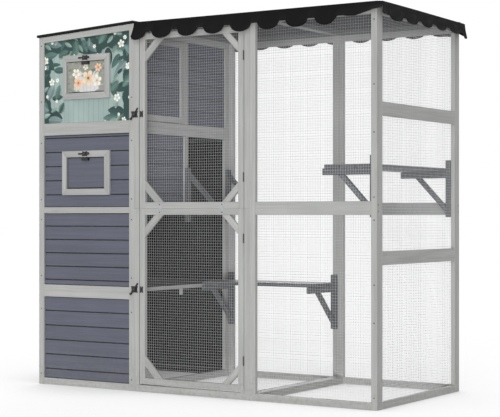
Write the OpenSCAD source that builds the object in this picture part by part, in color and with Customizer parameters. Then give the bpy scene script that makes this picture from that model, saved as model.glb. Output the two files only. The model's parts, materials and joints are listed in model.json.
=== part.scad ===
// Outdoor cat enclosure: a sided house at the left, a door bay and a mesh run at the right.
// Millimetres. X runs to the right along the front, Y goes back, Z is up, and the ground is Z = 0.

/* [Overall] */
// Width of the house bay at the left
house_w = 593; // [540:1:680]
// Width of the door bay in the middle
door_bay_w = 656; // [600:1:760]
// Width of the run bay at the right
run_w = 650; // [560:1:800]
// Depth over the front and back walls
depth = 834; // [760:1:1000]
// Height of the walls, up to the roof panels
wall_h = 1735; // [1705:1:1850]

/* [Lumber] */
// Face width of the stiles and the thin rails
stile_w = 30; // [24:1:38]
// Thickness of every frame member
frame_t = 20; // [18:1:24]
// Face height of the wide rails
wide_rail = 60; // [45:1:70]
// Height of the rails on the ground
ground_rail = 32; // [20:1:40]
// Gap at each butt joint between two members
joint_gap = 0.2; // [0.15:0.05:0.5]

/* [Rail heights] */
// Underside of the lowest wide rail of the house front
low_rail_z = 435; // [400:1:480]
// Distance of the underside of the thin rail of the house front from the wall height
thin_rail_drop = 887; // [860:1:910]
// Distance of the underside of the upper wide rail of the house from the wall height
high_rail_drop = 502; // [480:1:520]
// Underside of the middle rail of the run and of the back wall
mid_rail_z = 839; // [800:1:880]
// Underside of the lower rail of the right wall
side_low_rail_z = 622; // [560:1:680]
// Underside of the upper rail of the right wall
side_high_rail_z = 1270; // [1220:1:1320]

/* [House roof] */
// How far the low end of the roof lies under the wall height
roof_drop = 13; // [5:1:25]
// How much the roof rises over the width of the house
roof_rise = 32; // [20:1:50]
// Thickness of the roof board
roof_board_t = 13; // [9:1:18]
// Overhang of the roof board at the left, front and back
roof_overhang = 10; // [4:1:25]

/* [Siding] */
// Thickness of the siding boards
siding_t = 10; // [7:0.5:11.5]
// How far the siding lies behind the face of its frame
siding_recess = 8; // [4:0.5:8.5]
// Height of one siding board of the partition and the top of the house, with its gap
board_pitch = 71; // [50:1:100]
// Heights of the top board in the three fields under the upper wide rail, from the ground up
top_board_h = [69, 63.5, 14];
// Heights of the boards under it
field_pitch = [72, 66, 70];
// Least height of the board at the foot of a field
foot_board_h = 12; // [8:1:20]
// Gap between two siding boards
board_gap = 0.8; // [0.4:0.1:3]
// Thickness of the floors in the house
floor_t = 18; // [12:1:24]
// Clearance of a floor to the walls round it
floor_gap = 0.3; // [0.2:0.1:0.8]
// Top of the lowest floor in the house
low_floor_z = 490; // [470:1:520]
// Width of the gap left for climbing in the upper floor
climb_gap = 250; // [200:1:300]

/* [Windows] */
// Width of the clear opening of a window
window_w = 237; // [200:1:260]
// Height of the clear opening of a window
window_h = 154; // [130:1:170]
// Left side of both window openings
window_x = 177; // [150:1:200]
// Height of the lower window opening over the thin rail
low_sill_rise = 90; // [62:1:102]
// Height of the upper window opening over the upper wide rail
high_sill_rise = 144; // [107:1:157]
// Face width of the mitred window trim
trim_w = 31; // [24:1:34]
// Thickness of the window trim
trim_t = 12; // [8:1:16]
// Gap round the flap in its opening
flap_gap = 2; // [1.2:0.1:4]
// Thickness of the flap
flap_t = 10; // [7:0.5:11.5]

/* [Door] */
// Gap between the door and the jamb on its latch side
door_gap = 4.5; // [3:0.5:8]
// Gap between the door and the post on its hinge side
hinge_gap = 3; // [3:0.1:5]
// Gap under and over the door
door_end_gap = 4; // [2:0.5:8]
// Height of the seam between the two leaves of the door
door_seam_z = 870; // [850:1:890]
// Distance of the inner edge of a corner brace from the corner
brace_inner = 98; // [80:1:120]
// Distance of the outer edge of a corner brace from the corner
brace_outer = 43; // [20:1:60]
// Thickness of the corner braces
brace_t = 12; // [8:1:14]
// Width of a plate that joins the two leaves
join_plate_w = 18; // [12:1:24]
// Height of a plate that joins the two leaves
join_plate_h = 50; // [30:1:58]
// Thickness of a join plate
join_plate_t = 2; // [1:0.5:4]
// Distance of the join plates from the sides of the door
join_plate_inset = 117; // [60:1:160]

/* [Hatch] */
// Gap between the hatch and the middle stile of the partition
hatch_gap = 1.7; // [1:0.1:4]
// Gap under and over the hatch
hatch_end_gap = 3; // [2:0.5:8]
// Distance of a hatch hinge from the end of the hatch
hatch_hinge_inset = 80; // [50:1:120]

/* [Hinges] */
// Radius of a door hinge knuckle
door_knuckle_r = 3; // [2.6:0.1:3.1]
// Radius of a door hinge pin
door_pin_r = 1.5; // [1:0.1:1.8]
// Height of a door hinge
door_hinge_h = 43; // [30:1:60]
// Distances of the door hinges from the foot of the door, its seam, its seam and its top
door_hinge_inset = [141, 137, 142, 136];
// Radius of a flap hinge knuckle
flap_knuckle_r = 2.5; // [2.2:0.1:2.6]
// Radius of a flap hinge pin
flap_pin_r = 1.25; // [0.8:0.05:1.4]
// Width of a flap hinge
flap_hinge_w = 34; // [24:1:44]
// Distance of a flap hinge from the side of the opening
flap_hinge_inset = 46; // [30:1:60]
// Thickness of every hinge leaf
leaf_t = 1.2; // [0.8:0.1:1.3]
// Length of the leaves of the door and hatch hinges, from their axis
door_leaf_l = 16; // [12:0.5:17]
// Length of the leaves of the flap hinges, from their axis
flap_leaf_l = 11.5; // [9:0.5:12]
// Gap between a knuckle and the face behind it
knuckle_out = 0.2; // [0.1:0.1:0.6]
// Radial clearance of a pin in its knuckles
pin_clear = 0.05; // [0.02:0.01:0.1]
// Gap between two knuckles
knuckle_gap = 0.3; // [0.2:0.1:0.6]

/* [Latches] */
// Width of a door latch base, across the seam
latch_base_w = 40; // [34:1:46]
// Height of a door latch base, along the seam
latch_base_h = 30; // [26:1:31]
// Width of a window latch base
flap_base_w = 30; // [24:1:36]
// Height of a window latch base
flap_base_h = 17; // [14:1:20]
// Thickness of a latch plate
latch_plate_t = 2; // [1.5:0.5:3]
// Width of a door keeper
door_keeper_w = 20; // [16:1:26]
// Width of a window keeper
flap_keeper_w = 40; // [30:1:44]
// Height of a window keeper
flap_keeper_h = 14; // [10:1:18]
// Height of the boss under a lever
boss_t = 1.5; // [1:0.1:2.5]
// Width of the shoulder of the boss round its rivet
boss_shoulder = 3; // [2:0.5:5]
// Radius of the disc of a latch lever
lever_disc_r = 9; // [7:0.5:11]
// Thickness of a latch lever
lever_t = 3; // [2:0.5:4]
// Clearance between a lever and its base
lever_gap = 0.3; // [0.2:0.1:0.6]
// Radius of the rivet that carries a lever
rivet_r = 2.5; // [2:0.1:3.5]
// Width of the rim of a rivet head round its rivet
head_rim = 2; // [1:0.5:3]
// Height of a rivet head
head_t = 1.4; // [0.8:0.1:2]
// Distance of a window keeper from the upper edge of its flap
keeper_inset = 1; // [0.5:0.5:4]
// Reach of the tongue of a lever past its rivet
tongue_l = 38; // [36:1:40]
// Width of the tongue of a lever
tongue_w = 8; // [6:0.5:10]
// Reach of the knob of a lever past its rivet
knob_l = 27; // [22:1:32]
// Width of the stem of the knob
knob_stem_w = 5; // [4:0.5:7]
// Radius of the knob
knob_r = 4; // [3:0.5:5]
// Heights of the two door latches over the undersides of the wide rails beside them
door_latch_rise = [50, 86];
// Distance of a door latch rivet from the gap of the door
door_rivet_inset = 27; // [25:1:27]
// Distance of a window latch rivet from the window opening
flap_rivet_inset = 16; // [14:1:17]
// Turn of a door lever at rest, from its latched place
door_lever_turn = 52; // [50:1:70]
// Turn of a window lever at rest, from its latched place
flap_lever_turn = 90; // [80:1:100]

/* [Mesh] */
// Distance between two wires of the mesh, drawn coarse
mesh_pitch = 100; // [80:5:200]
// Width of a wire
mesh_wire = 2.4; // [1.5:0.1:4]
// Thickness of the mesh, over both its layers of wires
mesh_t = 2; // [1:0.1:3]
// Width of the mesh that lies on the frame
mesh_lap = 8; // [4:1:9]

/* [Shelves] */
// Width of one shelf board
shelf_board_w = 76; // [60:1:95]
// Gap between two shelf boards
shelf_board_gap = 3.5; // [2:0.5:8]
// Thickness of a shelf board
shelf_board_t = 17; // [12:1:22]
// Gap between the upright boards of the brackets and the first shelf board
shelf_inset = 1; // [0.4:0.2:6]
// How far the left bracket of the lower shelf lies over its stile
bracket_lap = 4; // [0:1:10]
// How far an arm reaches past the last shelf board
arm_nose = 10; // [0:1:20]
// Height of a shelf arm
arm_h = 30; // [24:1:40]
// Thickness of a shelf arm
arm_t = 20; // [14:1:26]
// Length of the upright board of a bracket
upright_l = 271; // [260:1:300]
// Width of the upright board of a bracket
upright_w = 30; // [24:1:40]
// Thickness of the upright board of a bracket
upright_t = 20; // [14:1:26]
// How far the upright board stands past the arm
upright_horn = 55; // [40:1:70]
// Leg of the outer edge of a bracket brace
bracket_leg = 166; // [155:1:175]
// Leg of the inner edge of a bracket brace
bracket_leg_in = 135; // [120:1:145]
// Height of the arms under the upper shelf
upper_arm_z = 1045; // [1000:1:1080]
// Height of the arms under the lower shelf
lower_arm_z = 487; // [460:1:510]
// Height of the underside of the arms over the landing
landing_arm_z = 859; // [850:1:865]

/* [Cover] */
// Thickness of the cloth cover
cloth_t = 2; // [1:0.5:3]
// Gap between the cover and its valances
cloth_gap = 0.3; // [0.2:0.1:0.6]
// Distance of the left end of the cover from the house
cover_gap = 1.5; // [1:0.1:5]
// Drop of the front, right and back valances at their lobes
valance_drop = [88, 75, 60];
// Depth of the scallops of the front, right and back valances
scallop_depth = [34, 22, 22];
// Distance of the first lobe of the front, right and back valances from their start
first_lobe = [30, -3, 18];
// How far from the front right corner the lifted scallops of the front and right valances reach
corner_lift = [150, 30];
// How much lower the cloth hangs at the back right corner
corner_droop = 20; // [0:1:30]
// Distance between two scallops
scallop_w = 148; // [125:1:180]
// Width of the round lobe of a scallop
lobe_w = 112; // [80:1:120]
// How far the hem of the valance stands out
valance_flare = 27; // [10:1:40]
// How far the folds wave in and out
fold_depth = 5; // [0:0.5:8]

/* [Fasteners] */
// Radius of a screw head
screw_r = 3.5; // [2.5:0.1:5]
// Height of a screw head
screw_t = 1; // [0.6:0.1:2]
// Distance of the two side screws from the edges of the middle rail
side_screw_inset = 16; // [10:1:20]

/* [Hidden] */
$fn = 40;

// Whole plan
total_w = house_w + door_bay_w + run_w;
run_x = house_w + door_bay_w;
back_y = depth - frame_t;
hem_out = cloth_gap + valance_flare + fold_depth + cloth_t;
origin_x = (total_w + hem_out - roof_overhang) / 2;
origin_y = depth / 2;

// Slope of the house roof
roof_slope = roof_rise / house_w;
roof_low_z = wall_h - roof_drop;
function roof_z(x) = roof_low_z + roof_slope * x;

// Wall frames
top_rail_z = wall_h - stile_w;
thin_rail_z = wall_h - thin_rail_drop;
high_rail_z = wall_h - high_rail_drop;
partition_x = house_w - frame_t;
side_x = total_w - frame_t;
half_depth = depth / 2;
right_wall_x = side_x - mesh_t;
back_wall_y = back_y - mesh_t;
siding_back = siding_recess + siding_t;
// Distance of a net from the end of its wall, clear of the wall that stands across it
net_inset = max(stile_w - mesh_lap, frame_t + joint_gap);

// Door
jamb_x = house_w + stile_w;
door_x = jamb_x + door_gap;
post_x = run_x - stile_w;
door_end_x = post_x - hinge_gap;
door_low_z = ground_rail + door_end_gap;
door_top_z = top_rail_z - door_end_gap;
seam_half = joint_gap / 2;
door_axis_x = post_x - hinge_gap / 2;
door_hinge_z = [
    door_low_z + door_hinge_inset[0], door_seam_z - door_hinge_inset[1],
    door_seam_z + door_hinge_inset[2], door_top_z - door_hinge_inset[3]
];
door_latch_z = [low_rail_z + door_latch_rise[0], high_rail_z + door_latch_rise[1]];
axis_out = door_knuckle_r + knuckle_out;

// Hatch in the partition
hatch_y = frame_t + stile_w + hinge_gap;
hatch_end_y = half_depth - hatch_gap;
hatch_low_z = high_rail_z + wide_rail + hatch_end_gap;
hatch_top_z = top_rail_z - hatch_end_gap;
hatch_axis_y = hatch_y - hinge_gap / 2;
hatch_hinge_z = [hatch_low_z + hatch_hinge_inset, hatch_top_z - hatch_hinge_inset];

// Windows. The hinge axis stands a little over the sill, and the flap stands on its strap
low_window_z = thin_rail_z + stile_w + low_sill_rise;
high_window_z = high_rail_z + wide_rail + high_sill_rise;
flap_axis_rise = flap_knuckle_r + 0.5;
flap_clear = leaf_t + 0.3;
trim_y = siding_recess - trim_t;
flap_axis_y = siding_recess - flap_knuckle_r;

// Latch levels, measured out from the face that carries the base
boss_z = latch_plate_t + boss_t;
lever_low = boss_z + lever_gap;
lever_high = lever_low + lever_t;
keeper_rise = trim_t + boss_z;

// Shelves
shelf_span = 3 * shelf_board_w + 2 * shelf_board_gap;
board_start = upright_t + shelf_inset;
arm_l = board_start + shelf_span + arm_nose;

// Cloth grid
cloth_rows = 4;
cloth_steps = 8;
cover_z = wall_h + frame_t;
cover_x = house_w + cover_gap;
lift_fade = 60;
lift_end = 45;
droop_l = 100;
corner_spread = 0.9;
hem_top_z = cover_z + cloth_t;

wood = [0.72, 0.72, 0.70];
slate = [0.42, 0.44, 0.49];
shade = [0.42, 0.43, 0.44];
black = [0.12, 0.12, 0.12];
wire = [0.75, 0.76, 0.77];
teal = [0.62, 0.74, 0.71];
cream = [0.93, 0.88, 0.80];

module at_origin() {
    translate([-origin_x, -origin_y, 0]) children();
}

// A box between two corners
module box(low, high) {
    translate(low) cube(high - low);
}

// A prism whose outline lies in X and Z, from y back by t
module prism(points, y, t) {
    translate([0, y + t, 0]) rotate([90, 0, 0]) linear_extrude(t) polygon(points);
}

// Turns something drawn in X and Z so that it runs along Y, with its face at x
module along_y(x) {
    translate([x, 0, 0]) rotate([0, 0, 90]) children();
}

// Frame members of a wall, drawn in X and Z
module stile(x, y, z0, z1) {
    box([x, y, z0], [x + stile_w, y + frame_t, z1]);
}

module rail(x0, x1, y, z0, z1) {
    box([x0 + joint_gap, y, z0], [x1 - joint_gap, y + frame_t, z1]);
}

module rails(x0, x1, y, spans) {
    for (s = spans) rail(x0 + stile_w, x1 - stile_w, y, s[0], s[1]);
}

module wall_frame(x0, x1, y, z1, spans) {
    stile(x0, y, 0, z1);
    stile(x1 - stile_w, y, 0, z1);
    rails(x0, x1, y, spans);
}

ground_span = [0, ground_rail];
top_span = [top_rail_z, wall_h];
mid_span = [mid_rail_z, mid_rail_z + wide_rail];
house_spans = [
    ground_span,
    [low_rail_z, low_rail_z + wide_rail],
    [thin_rail_z, thin_rail_z + stile_w],
    [high_rail_z, high_rail_z + wide_rail]
];
side_spans = [
    ground_span,
    [side_low_rail_z, side_low_rail_z + wide_rail],
    [side_high_rail_z, side_high_rail_z + wide_rail],
    top_span
];

// A house wall frame whose top follows the roof
module sloped_stile(x, y) {
    x1 = x + stile_w;
    prism([[x, 0], [x1, 0], [x1, roof_z(x1)], [x, roof_z(x)]], y, frame_t);
}

module house_wall_frame(y) {
    x0 = stile_w + joint_gap;
    x1 = house_w - stile_w - joint_gap;
    sloped_stile(0, y);
    sloped_stile(house_w - stile_w, y);
    rails(0, house_w, y, house_spans);
    prism([[x0, roof_z(x0) - stile_w], [x1, roof_z(x1) - stile_w], [x1, roof_z(x1)], [x0, roof_z(x0)]],
        y, frame_t);
}

module front_left_frame() at_origin() color(wood) house_wall_frame(0);

module back_left_frame() at_origin() color(wood) house_wall_frame(back_y);

module front_middle_frame() at_origin() color(wood) {
    for (x = [house_w, post_x]) {
        stile(x, 0, 0, door_seam_z - seam_half);
        stile(x, 0, door_seam_z + seam_half, wall_h);
    }
    rails(house_w, run_x, 0, [ground_span, top_span]);
}

module front_right_frame() at_origin() color(wood) {
    wall_frame(run_x, total_w, 0, wall_h, [ground_span, mid_span, top_span]);
}

module right_side_frame() at_origin() color(wood) along_y(total_w) {
    wall_frame(frame_t, back_y, 0, wall_h, side_spans);
}

module back_right_frame() at_origin() color(wood) {
    wall_frame(run_x, total_w, back_y, wall_h, [ground_span, mid_span, top_span]);
}

module back_middle_frame() at_origin() color(wood) {
    wall_frame(house_w, run_x, back_y, wall_h, [ground_span, mid_span, top_span]);
}

module left_side_frame() at_origin() color(wood) along_y(frame_t) {
    wall_frame(frame_t, back_y, 0, roof_low_z, concat(house_spans, [[roof_low_z - stile_w, roof_low_z]]));
}

// The wall between the house and the door bay, open below its middle rail
module partition_frame() at_origin() color(wood) along_y(house_w) {
    inner_y0 = frame_t + stile_w;
    inner_y1 = back_y - stile_w;
    post_top = roof_z(partition_x);
    stile(frame_t, 0, 0, post_top);
    stile(inner_y1, 0, 0, post_top);
    rail(inner_y0, inner_y1, 0, 0, ground_rail);
    rail(inner_y0, inner_y1, 0, door_seam_z - stile_w, door_seam_z);
    rail(inner_y0, inner_y1, 0, high_rail_z, high_rail_z + wide_rail);
    rail(inner_y0, inner_y1, 0, top_rail_z, post_top);
    stile(half_depth, 0, door_seam_z + joint_gap, high_rail_z - joint_gap);
    stile(half_depth, 0, high_rail_z + wide_rail + joint_gap, top_rail_z - joint_gap);
}

// The member that ties the front to the back on the ground
module ground_tie() at_origin() color(wood) {
    box([run_x - stile_w, frame_t + mesh_t + joint_gap, 0],
        [run_x + stile_w, back_wall_y - joint_gap, ground_rail]);
}

// One roof panel: two long members across and two between them
module roof_panel(x0, x1) {
    z1 = wall_h + frame_t;
    for (x = [x0, x1 - stile_w]) box([x, 0, wall_h], [x + stile_w, depth, z1]);
    for (y = [0, depth - stile_w])
        box([x0 + stile_w + joint_gap, y, wall_h], [x1 - stile_w - joint_gap, y + stile_w, z1]);
}

module roof_frames() at_origin() color(wood) {
    roof_panel(house_w + joint_gap, run_x - seam_half);
    roof_panel(run_x + seam_half, total_w);
}

// Siding boards between two heights, drawn in X and Z
module boards(x0, x1, y, z0, z1) {
    count = max(1, round((z1 - z0) / board_pitch));
    pitch = (z1 - z0) / count;
    for (i = [0:count - 1])
        box([x0 + joint_gap, y, z0 + i * pitch + board_gap / 2],
            [x1 - joint_gap, y + siding_t, z0 + (i + 1) * pitch - board_gap / 2]);
}

// Siding boards of one of the three lower fields of the house, cut from the top down
module field_boards(x0, x1, y, z0, z1, field) {
    first = z1 - top_board_h[field];
    pitch = field_pitch[field];
    count = max(1, ceil((first - z0 - foot_board_h) / pitch));
    for (i = [0:count]) {
        top = i == 0 ? z1 : first - (i - 1) * pitch;
        foot = i == count ? z0 : first - i * pitch;
        box([x0 + joint_gap, y, foot + board_gap / 2], [x1 - joint_gap, y + siding_t, top - board_gap / 2]);
    }
}

module window_hole(z) {
    box([window_x, siding_recess - 1, z], [window_x + window_w, siding_back + 1, z + window_h]);
}

front_inner_x = house_w - stile_w;

module front_siding() at_origin() color(slate) {
    field_boards(stile_w, front_inner_x, siding_recess, ground_rail, low_rail_z, 0);
    field_boards(stile_w, front_inner_x, siding_recess, low_rail_z + wide_rail, thin_rail_z, 1);
}

module window_siding() at_origin() color(slate) difference() {
    field_boards(stile_w, front_inner_x, siding_recess, thin_rail_z + stile_w, high_rail_z, 2);
    window_hole(low_window_z);
}

module print_panel() at_origin() color(teal) difference() {
    x0 = stile_w + joint_gap;
    x1 = front_inner_x - joint_gap;
    z0 = high_rail_z + wide_rail + joint_gap;
    drop = stile_w + joint_gap;
    prism([[x0, z0], [x1, z0], [x1, roof_z(x1) - drop], [x0, roof_z(x0) - drop]], siding_recess, siding_t);
    window_hole(high_window_z);
}

// The four fields of siding between the rails of a house wall
module wall_fields(x0, x1, y, top) {
    field_boards(x0, x1, y, ground_rail, low_rail_z, 0);
    field_boards(x0, x1, y, low_rail_z + wide_rail, thin_rail_z, 1);
    field_boards(x0, x1, y, thin_rail_z + stile_w, high_rail_z, 2);
    boards(x0, x1, y, high_rail_z + wide_rail, top);
}

module left_side_siding() at_origin() color(slate) along_y(frame_t) {
    wall_fields(frame_t + stile_w, back_y - stile_w, frame_t - siding_back, roof_low_z - stile_w);
}

// The top board of the back wall is tapered, because its top follows the roof
module back_siding() at_origin() color(slate) {
    y = back_y + frame_t - siding_back;
    x0 = stile_w + joint_gap;
    x1 = front_inner_x - joint_gap;
    taper_z = roof_low_z - stile_w - board_pitch;
    z0 = taper_z + board_gap / 2;
    drop = stile_w + joint_gap;
    wall_fields(stile_w, front_inner_x, y, taper_z);
    prism([[x0, z0], [x1, z0], [x1, roof_z(x1) - drop], [x0, roof_z(x0) - drop]], y, siding_t);
}

module partition_siding() at_origin() color(slate) along_y(house_w) {
    y0 = frame_t + stile_w;
    y1 = back_y - stile_w;
    boards(y0, half_depth, siding_recess, door_seam_z, high_rail_z);
    boards(half_depth + stile_w, y1, siding_recess, high_rail_z + wide_rail, top_rail_z);
}

module house_roof() at_origin() color(black) {
    x0 = -roof_overhang;
    x1 = house_w - joint_gap;
    low = floor_gap;
    high = roof_board_t + floor_gap;
    prism([[x0, roof_z(x0) + low], [x1, roof_z(x1) + low], [x1, roof_z(x1) + high], [x0, roof_z(x0) + high]],
        -roof_overhang, depth + 2 * roof_overhang);
}

// Three floors in the house, and the bearers under the lowest one
module house_floors() at_origin() color(wood) {
    x0 = frame_t + floor_gap;
    inner_x = partition_x - floor_gap;
    y0 = frame_t + floor_gap;
    y1 = back_y - floor_gap;
    post_y0 = frame_t + stile_w + floor_gap;
    post_y1 = back_y - stile_w - floor_gap;
    difference() {
        box([x0, y0, low_floor_z - floor_t], [house_w, y1, low_floor_z]);
        box([inner_x, y0 - 1, 0], [house_w + 1, post_y0, wall_h]);
        box([inner_x, post_y1, 0], [house_w + 1, y1 + 1, wall_h]);
    }
    bearer_z = low_floor_z - floor_t - floor_gap;
    for (y = [post_y0, half_depth - stile_w - stile_w / 2, post_y1 - stile_w])
        box([x0, y, bearer_z - stile_w], [house_w, y + stile_w, bearer_z]);
    box([x0, y0, door_seam_z - floor_t], [inner_x, y1, door_seam_z]);
    top_floor_z = high_rail_z + wide_rail / 2;
    box([x0, y0, top_floor_z - floor_t], [inner_x, y1 - climb_gap, top_floor_z]);
}

// Coarse welded mesh between two corners, drawn in X and Z. The upright wires are one layer, and the
// level ones lie on them in another
module net(x0, x1, z0, z1, y) {
    nx = max(1, round((x1 - x0) / mesh_pitch));
    nz = max(1, round((z1 - z0) / mesh_pitch));
    wire_t = (mesh_t - joint_gap) / 2;
    for (i = [0:nx]) {
        x = x0 + i * (x1 - x0 - mesh_wire) / nx;
        box([x, y, z0], [x + mesh_wire, y + wire_t, z1]);
    }
    for (k = [0:nz]) {
        z = z0 + k * (z1 - z0 - mesh_wire) / nz;
        box([x0, y + mesh_t - wire_t, z], [x1, y + mesh_t, z + mesh_wire]);
    }
}

// Mesh over the openings between the rails of a wall
module wall_nets(x0, x1, y, spans) {
    for (i = [0:len(spans) - 2])
        net(x0 + net_inset, x1 - net_inset, spans[i][1] - mesh_lap, spans[i + 1][0] + mesh_lap, y);
}

run_spans = [ground_span, mid_span, top_span];

module front_right_mesh() at_origin() color(wire) wall_nets(run_x, total_w, frame_t, run_spans);

module right_side_mesh() at_origin() color(wire) along_y(total_w - frame_t) {
    wall_nets(frame_t, back_y, 0, side_spans);
}

module back_right_mesh() at_origin() color(wire) wall_nets(run_x, total_w, back_wall_y, run_spans);

module back_middle_mesh() at_origin() color(wire) wall_nets(house_w, run_x, back_wall_y, run_spans);

// Roof mesh lies under the roof panels, inside the walls
module roof_net(x0, x1) {
    translate([0, 0, wall_h - mesh_t]) rotate([90, 0, 0])
        net(x0 + net_inset, x1 - net_inset, net_inset - depth, -net_inset, 0);
}

module roof_mesh() at_origin() color(wire) {
    roof_net(house_w, run_x);
    roof_net(run_x, total_w);
}

module roof_cover() at_origin() color(black) {
    box([cover_x, 0, cover_z + cloth_gap], [total_w, depth, cover_z + cloth_gap + cloth_t]);
}

// Scalloped cloth of the front (side 0), right (1) or back (2). x runs along the edge, and v goes from the
// edge to the hem. A lobe is half an ellipse, and the hem is level between two lobes
function along(x, side) = x - first_lobe[side];
function from_lobe(s) = abs(s - scallop_w * round(s / scallop_w)) / (lobe_w / 2);
function lobe(s) = sqrt(max(0, 1 - pow(from_lobe(s), 2)));

// Distance of x from the front right corner, where the cloth is drawn up, and from the back right one
function from_lift(x, length, side) = side == 0 ? length - x : side == 1 ? x : length;
function from_droop(x, length, side) = side == 0 ? length : length - x;
function scallop_share(x, length, side) =
    side == 2 ? 1 : min(1, max(0.15, (from_lift(x, length, side) - corner_lift[side]) / lift_fade));
function drop_at(x, length, side) =
    (valance_drop[side] - scallop_depth[side] * (1 - lobe(along(x, side)) * scallop_share(x, length, side)))
    * min(1, 0.7 + 0.3 * from_lift(x, length, side) / lift_end)
    + corner_droop * pow(max(0, 1 - from_droop(x, length, side) / droop_l), 2);
function flare_at(x, v, side) = cloth_gap + valance_flare * pow(v, 1.5)
    + fold_depth * v * (1 + cos(360 * along(x, side) / scallop_w)) / 2;

// A point of the cloth at x along the edge. It spreads past the two right corners of the cover
function hem_point(x, v, length, side) =
    let (out = flare_at(x, v, side) * corner_spread, start = side == 1 ? 1 : 0)
    [x + out * max(0, 1 - (length - x) / scallop_w) - start * out * max(0, 1 - x / scallop_w),
        -flare_at(x, v, side), hem_top_z - v * drop_at(x, length, side)];

// The cloth between two ends, drawn along X with its outer side towards -Y
module valance(length, side) {
    count = ceil(length / scallop_w * cloth_steps);
    rows = cloth_rows;
    grid = [for (face = [0, 1]) for (i = [0:count]) for (j = [0:rows])
        hem_point(i * length / count, j / rows, length, side) - [0, face * cloth_t, 0]];
    half = (count + 1) * (rows + 1);
    function id(face, i, j) = face * half + i * (rows + 1) + j;
    inner = [for (i = [0:count - 1]) for (j = [0:rows - 1]) each [
        [id(0, i, j), id(0, i, j + 1), id(0, i + 1, j + 1)],
        [id(0, i, j), id(0, i + 1, j + 1), id(0, i + 1, j)]]];
    outer = [for (i = [0:count - 1]) for (j = [0:rows - 1]) each [
        [id(1, i, j), id(1, i + 1, j + 1), id(1, i, j + 1)],
        [id(1, i, j), id(1, i + 1, j), id(1, i + 1, j + 1)]]];
    ends = [for (j = [0:rows - 1]) each [
        [id(0, 0, j), id(1, 0, j + 1), id(0, 0, j + 1)],
        [id(0, 0, j), id(1, 0, j), id(1, 0, j + 1)],
        [id(0, count, j), id(0, count, j + 1), id(1, count, j + 1)],
        [id(0, count, j), id(1, count, j + 1), id(1, count, j)]]];
    edges = [for (i = [0:count - 1]) each [
        [id(0, i, 0), id(0, i + 1, 0), id(1, i + 1, 0)],
        [id(0, i, 0), id(1, i + 1, 0), id(1, i, 0)],
        [id(0, i, rows), id(1, i + 1, rows), id(0, i + 1, rows)],
        [id(0, i, rows), id(1, i, rows), id(1, i + 1, rows)]]];
    polyhedron(grid, concat(inner, outer, ends, edges));
}

module front_valance() at_origin() color(black) {
    translate([cover_x, 0, 0]) valance(total_w - cover_x, 0);
}

module right_valance() at_origin() color(black) {
    translate([total_w, 0, 0]) rotate([0, 0, 90]) valance(depth, 1);
}

module back_valance() at_origin() color(black) {
    translate([cover_x, depth, 0]) mirror([0, 1, 0]) valance(total_w - cover_x, 2);
}

// Shelf bracket: the wall is at x = 0, and the boards rest at z = 0
module bracket() {
    low = arm_h + bracket_leg;
    low_in = arm_h + bracket_leg_in;
    box([0, -upright_w / 2, upright_horn - upright_l], [upright_t, upright_w / 2, upright_horn]);
    box([upright_t + joint_gap, -arm_t / 2, -arm_h], [arm_l, arm_t / 2, 0]);
    start = upright_t + joint_gap;
    top = -arm_h - joint_gap;
    prism([[start, -low], [start, -low_in], [start + bracket_leg_in, top], [start + bracket_leg, top]],
        -arm_t / 2, arm_t);
}

// Three boards side by side, from one end to the other along Y
module shelf_boards(y0, y1) {
    for (i = [0:2]) {
        x = board_start + i * (shelf_board_w + shelf_board_gap);
        box([x, y0, 0], [x + shelf_board_w, y1, shelf_board_t]);
    }
}

front_bracket_y = frame_t + mesh_t + upright_w / 2;
rear_bracket_y = back_wall_y - upright_w / 2;
landing_bracket_y = half_depth + stile_w / 2;

// The upper shelf stands off the right wall
module right_wall(z) {
    translate([right_wall_x, 0, z]) mirror([1, 0, 0]) children();
}

module upper_shelf_brackets() at_origin() color(shade) right_wall(upper_arm_z) {
    for (y = [front_bracket_y, rear_bracket_y]) translate([0, y, 0]) bracket();
}

module upper_shelf_boards() at_origin() color(shade) right_wall(upper_arm_z + joint_gap) {
    shelf_boards(front_bracket_y - arm_t / 2, rear_bracket_y + arm_t / 2);
}

// The lower shelf stands off the back wall of the door bay
left_bracket_x = house_w + stile_w - bracket_lap;
right_bracket_x = run_x - stile_w / 2;

module back_wall(z) {
    translate([0, back_wall_y, z]) rotate([0, 0, -90]) children();
}

module lower_shelf_brackets() at_origin() color(shade) back_wall(lower_arm_z) {
    for (x = [left_bracket_x, right_bracket_x]) translate([0, x, 0]) bracket();
}

module lower_shelf_boards() at_origin() color(shade) back_wall(lower_arm_z + joint_gap) {
    shelf_boards(left_bracket_x - upright_w / 2, right_bracket_x + upright_w / 2);
}

// The landing hangs under two upturned brackets beside the doorway
module partition_wall(z) {
    translate([house_w, 0, z]) mirror([0, 0, 1]) children();
}

module landing_brackets() at_origin() color(shade) partition_wall(landing_arm_z) {
    for (y = [landing_bracket_y, rear_bracket_y]) translate([0, y, 0]) bracket();
}

module landing_boards() at_origin() color(shade) partition_wall(landing_arm_z - joint_gap) {
    shelf_boards(landing_bracket_y - arm_t / 2, rear_bracket_y + arm_t / 2);
}

// Four mitred pieces of trim round a window, held a little apart at the mitres
module window_trim(z) {
    x0 = window_x;
    x1 = window_x + window_w;
    z1 = z + window_h;
    w = trim_w;
    g = joint_gap;
    prism([[x0 - w + g, z - w], [x1 + w - g, z - w], [x1 - g, z], [x0 + g, z]], trim_y, trim_t);
    prism([[x0 - w + g, z1 + w], [x0 + g, z1], [x1 - g, z1], [x1 + w - g, z1 + w]], trim_y, trim_t);
    prism([[x0 - w, z - w + g], [x0, z + g], [x0, z1 - g], [x0 - w, z1 + w - g]], trim_y, trim_t);
    prism([[x1 + w, z - w + g], [x1 + w, z1 + w - g], [x1, z1 - g], [x1, z + g]], trim_y, trim_t);
}

module lower_window_trim() at_origin() color(wood) window_trim(low_window_z);

module upper_window_trim() at_origin() color(wood) window_trim(high_window_z);

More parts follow.
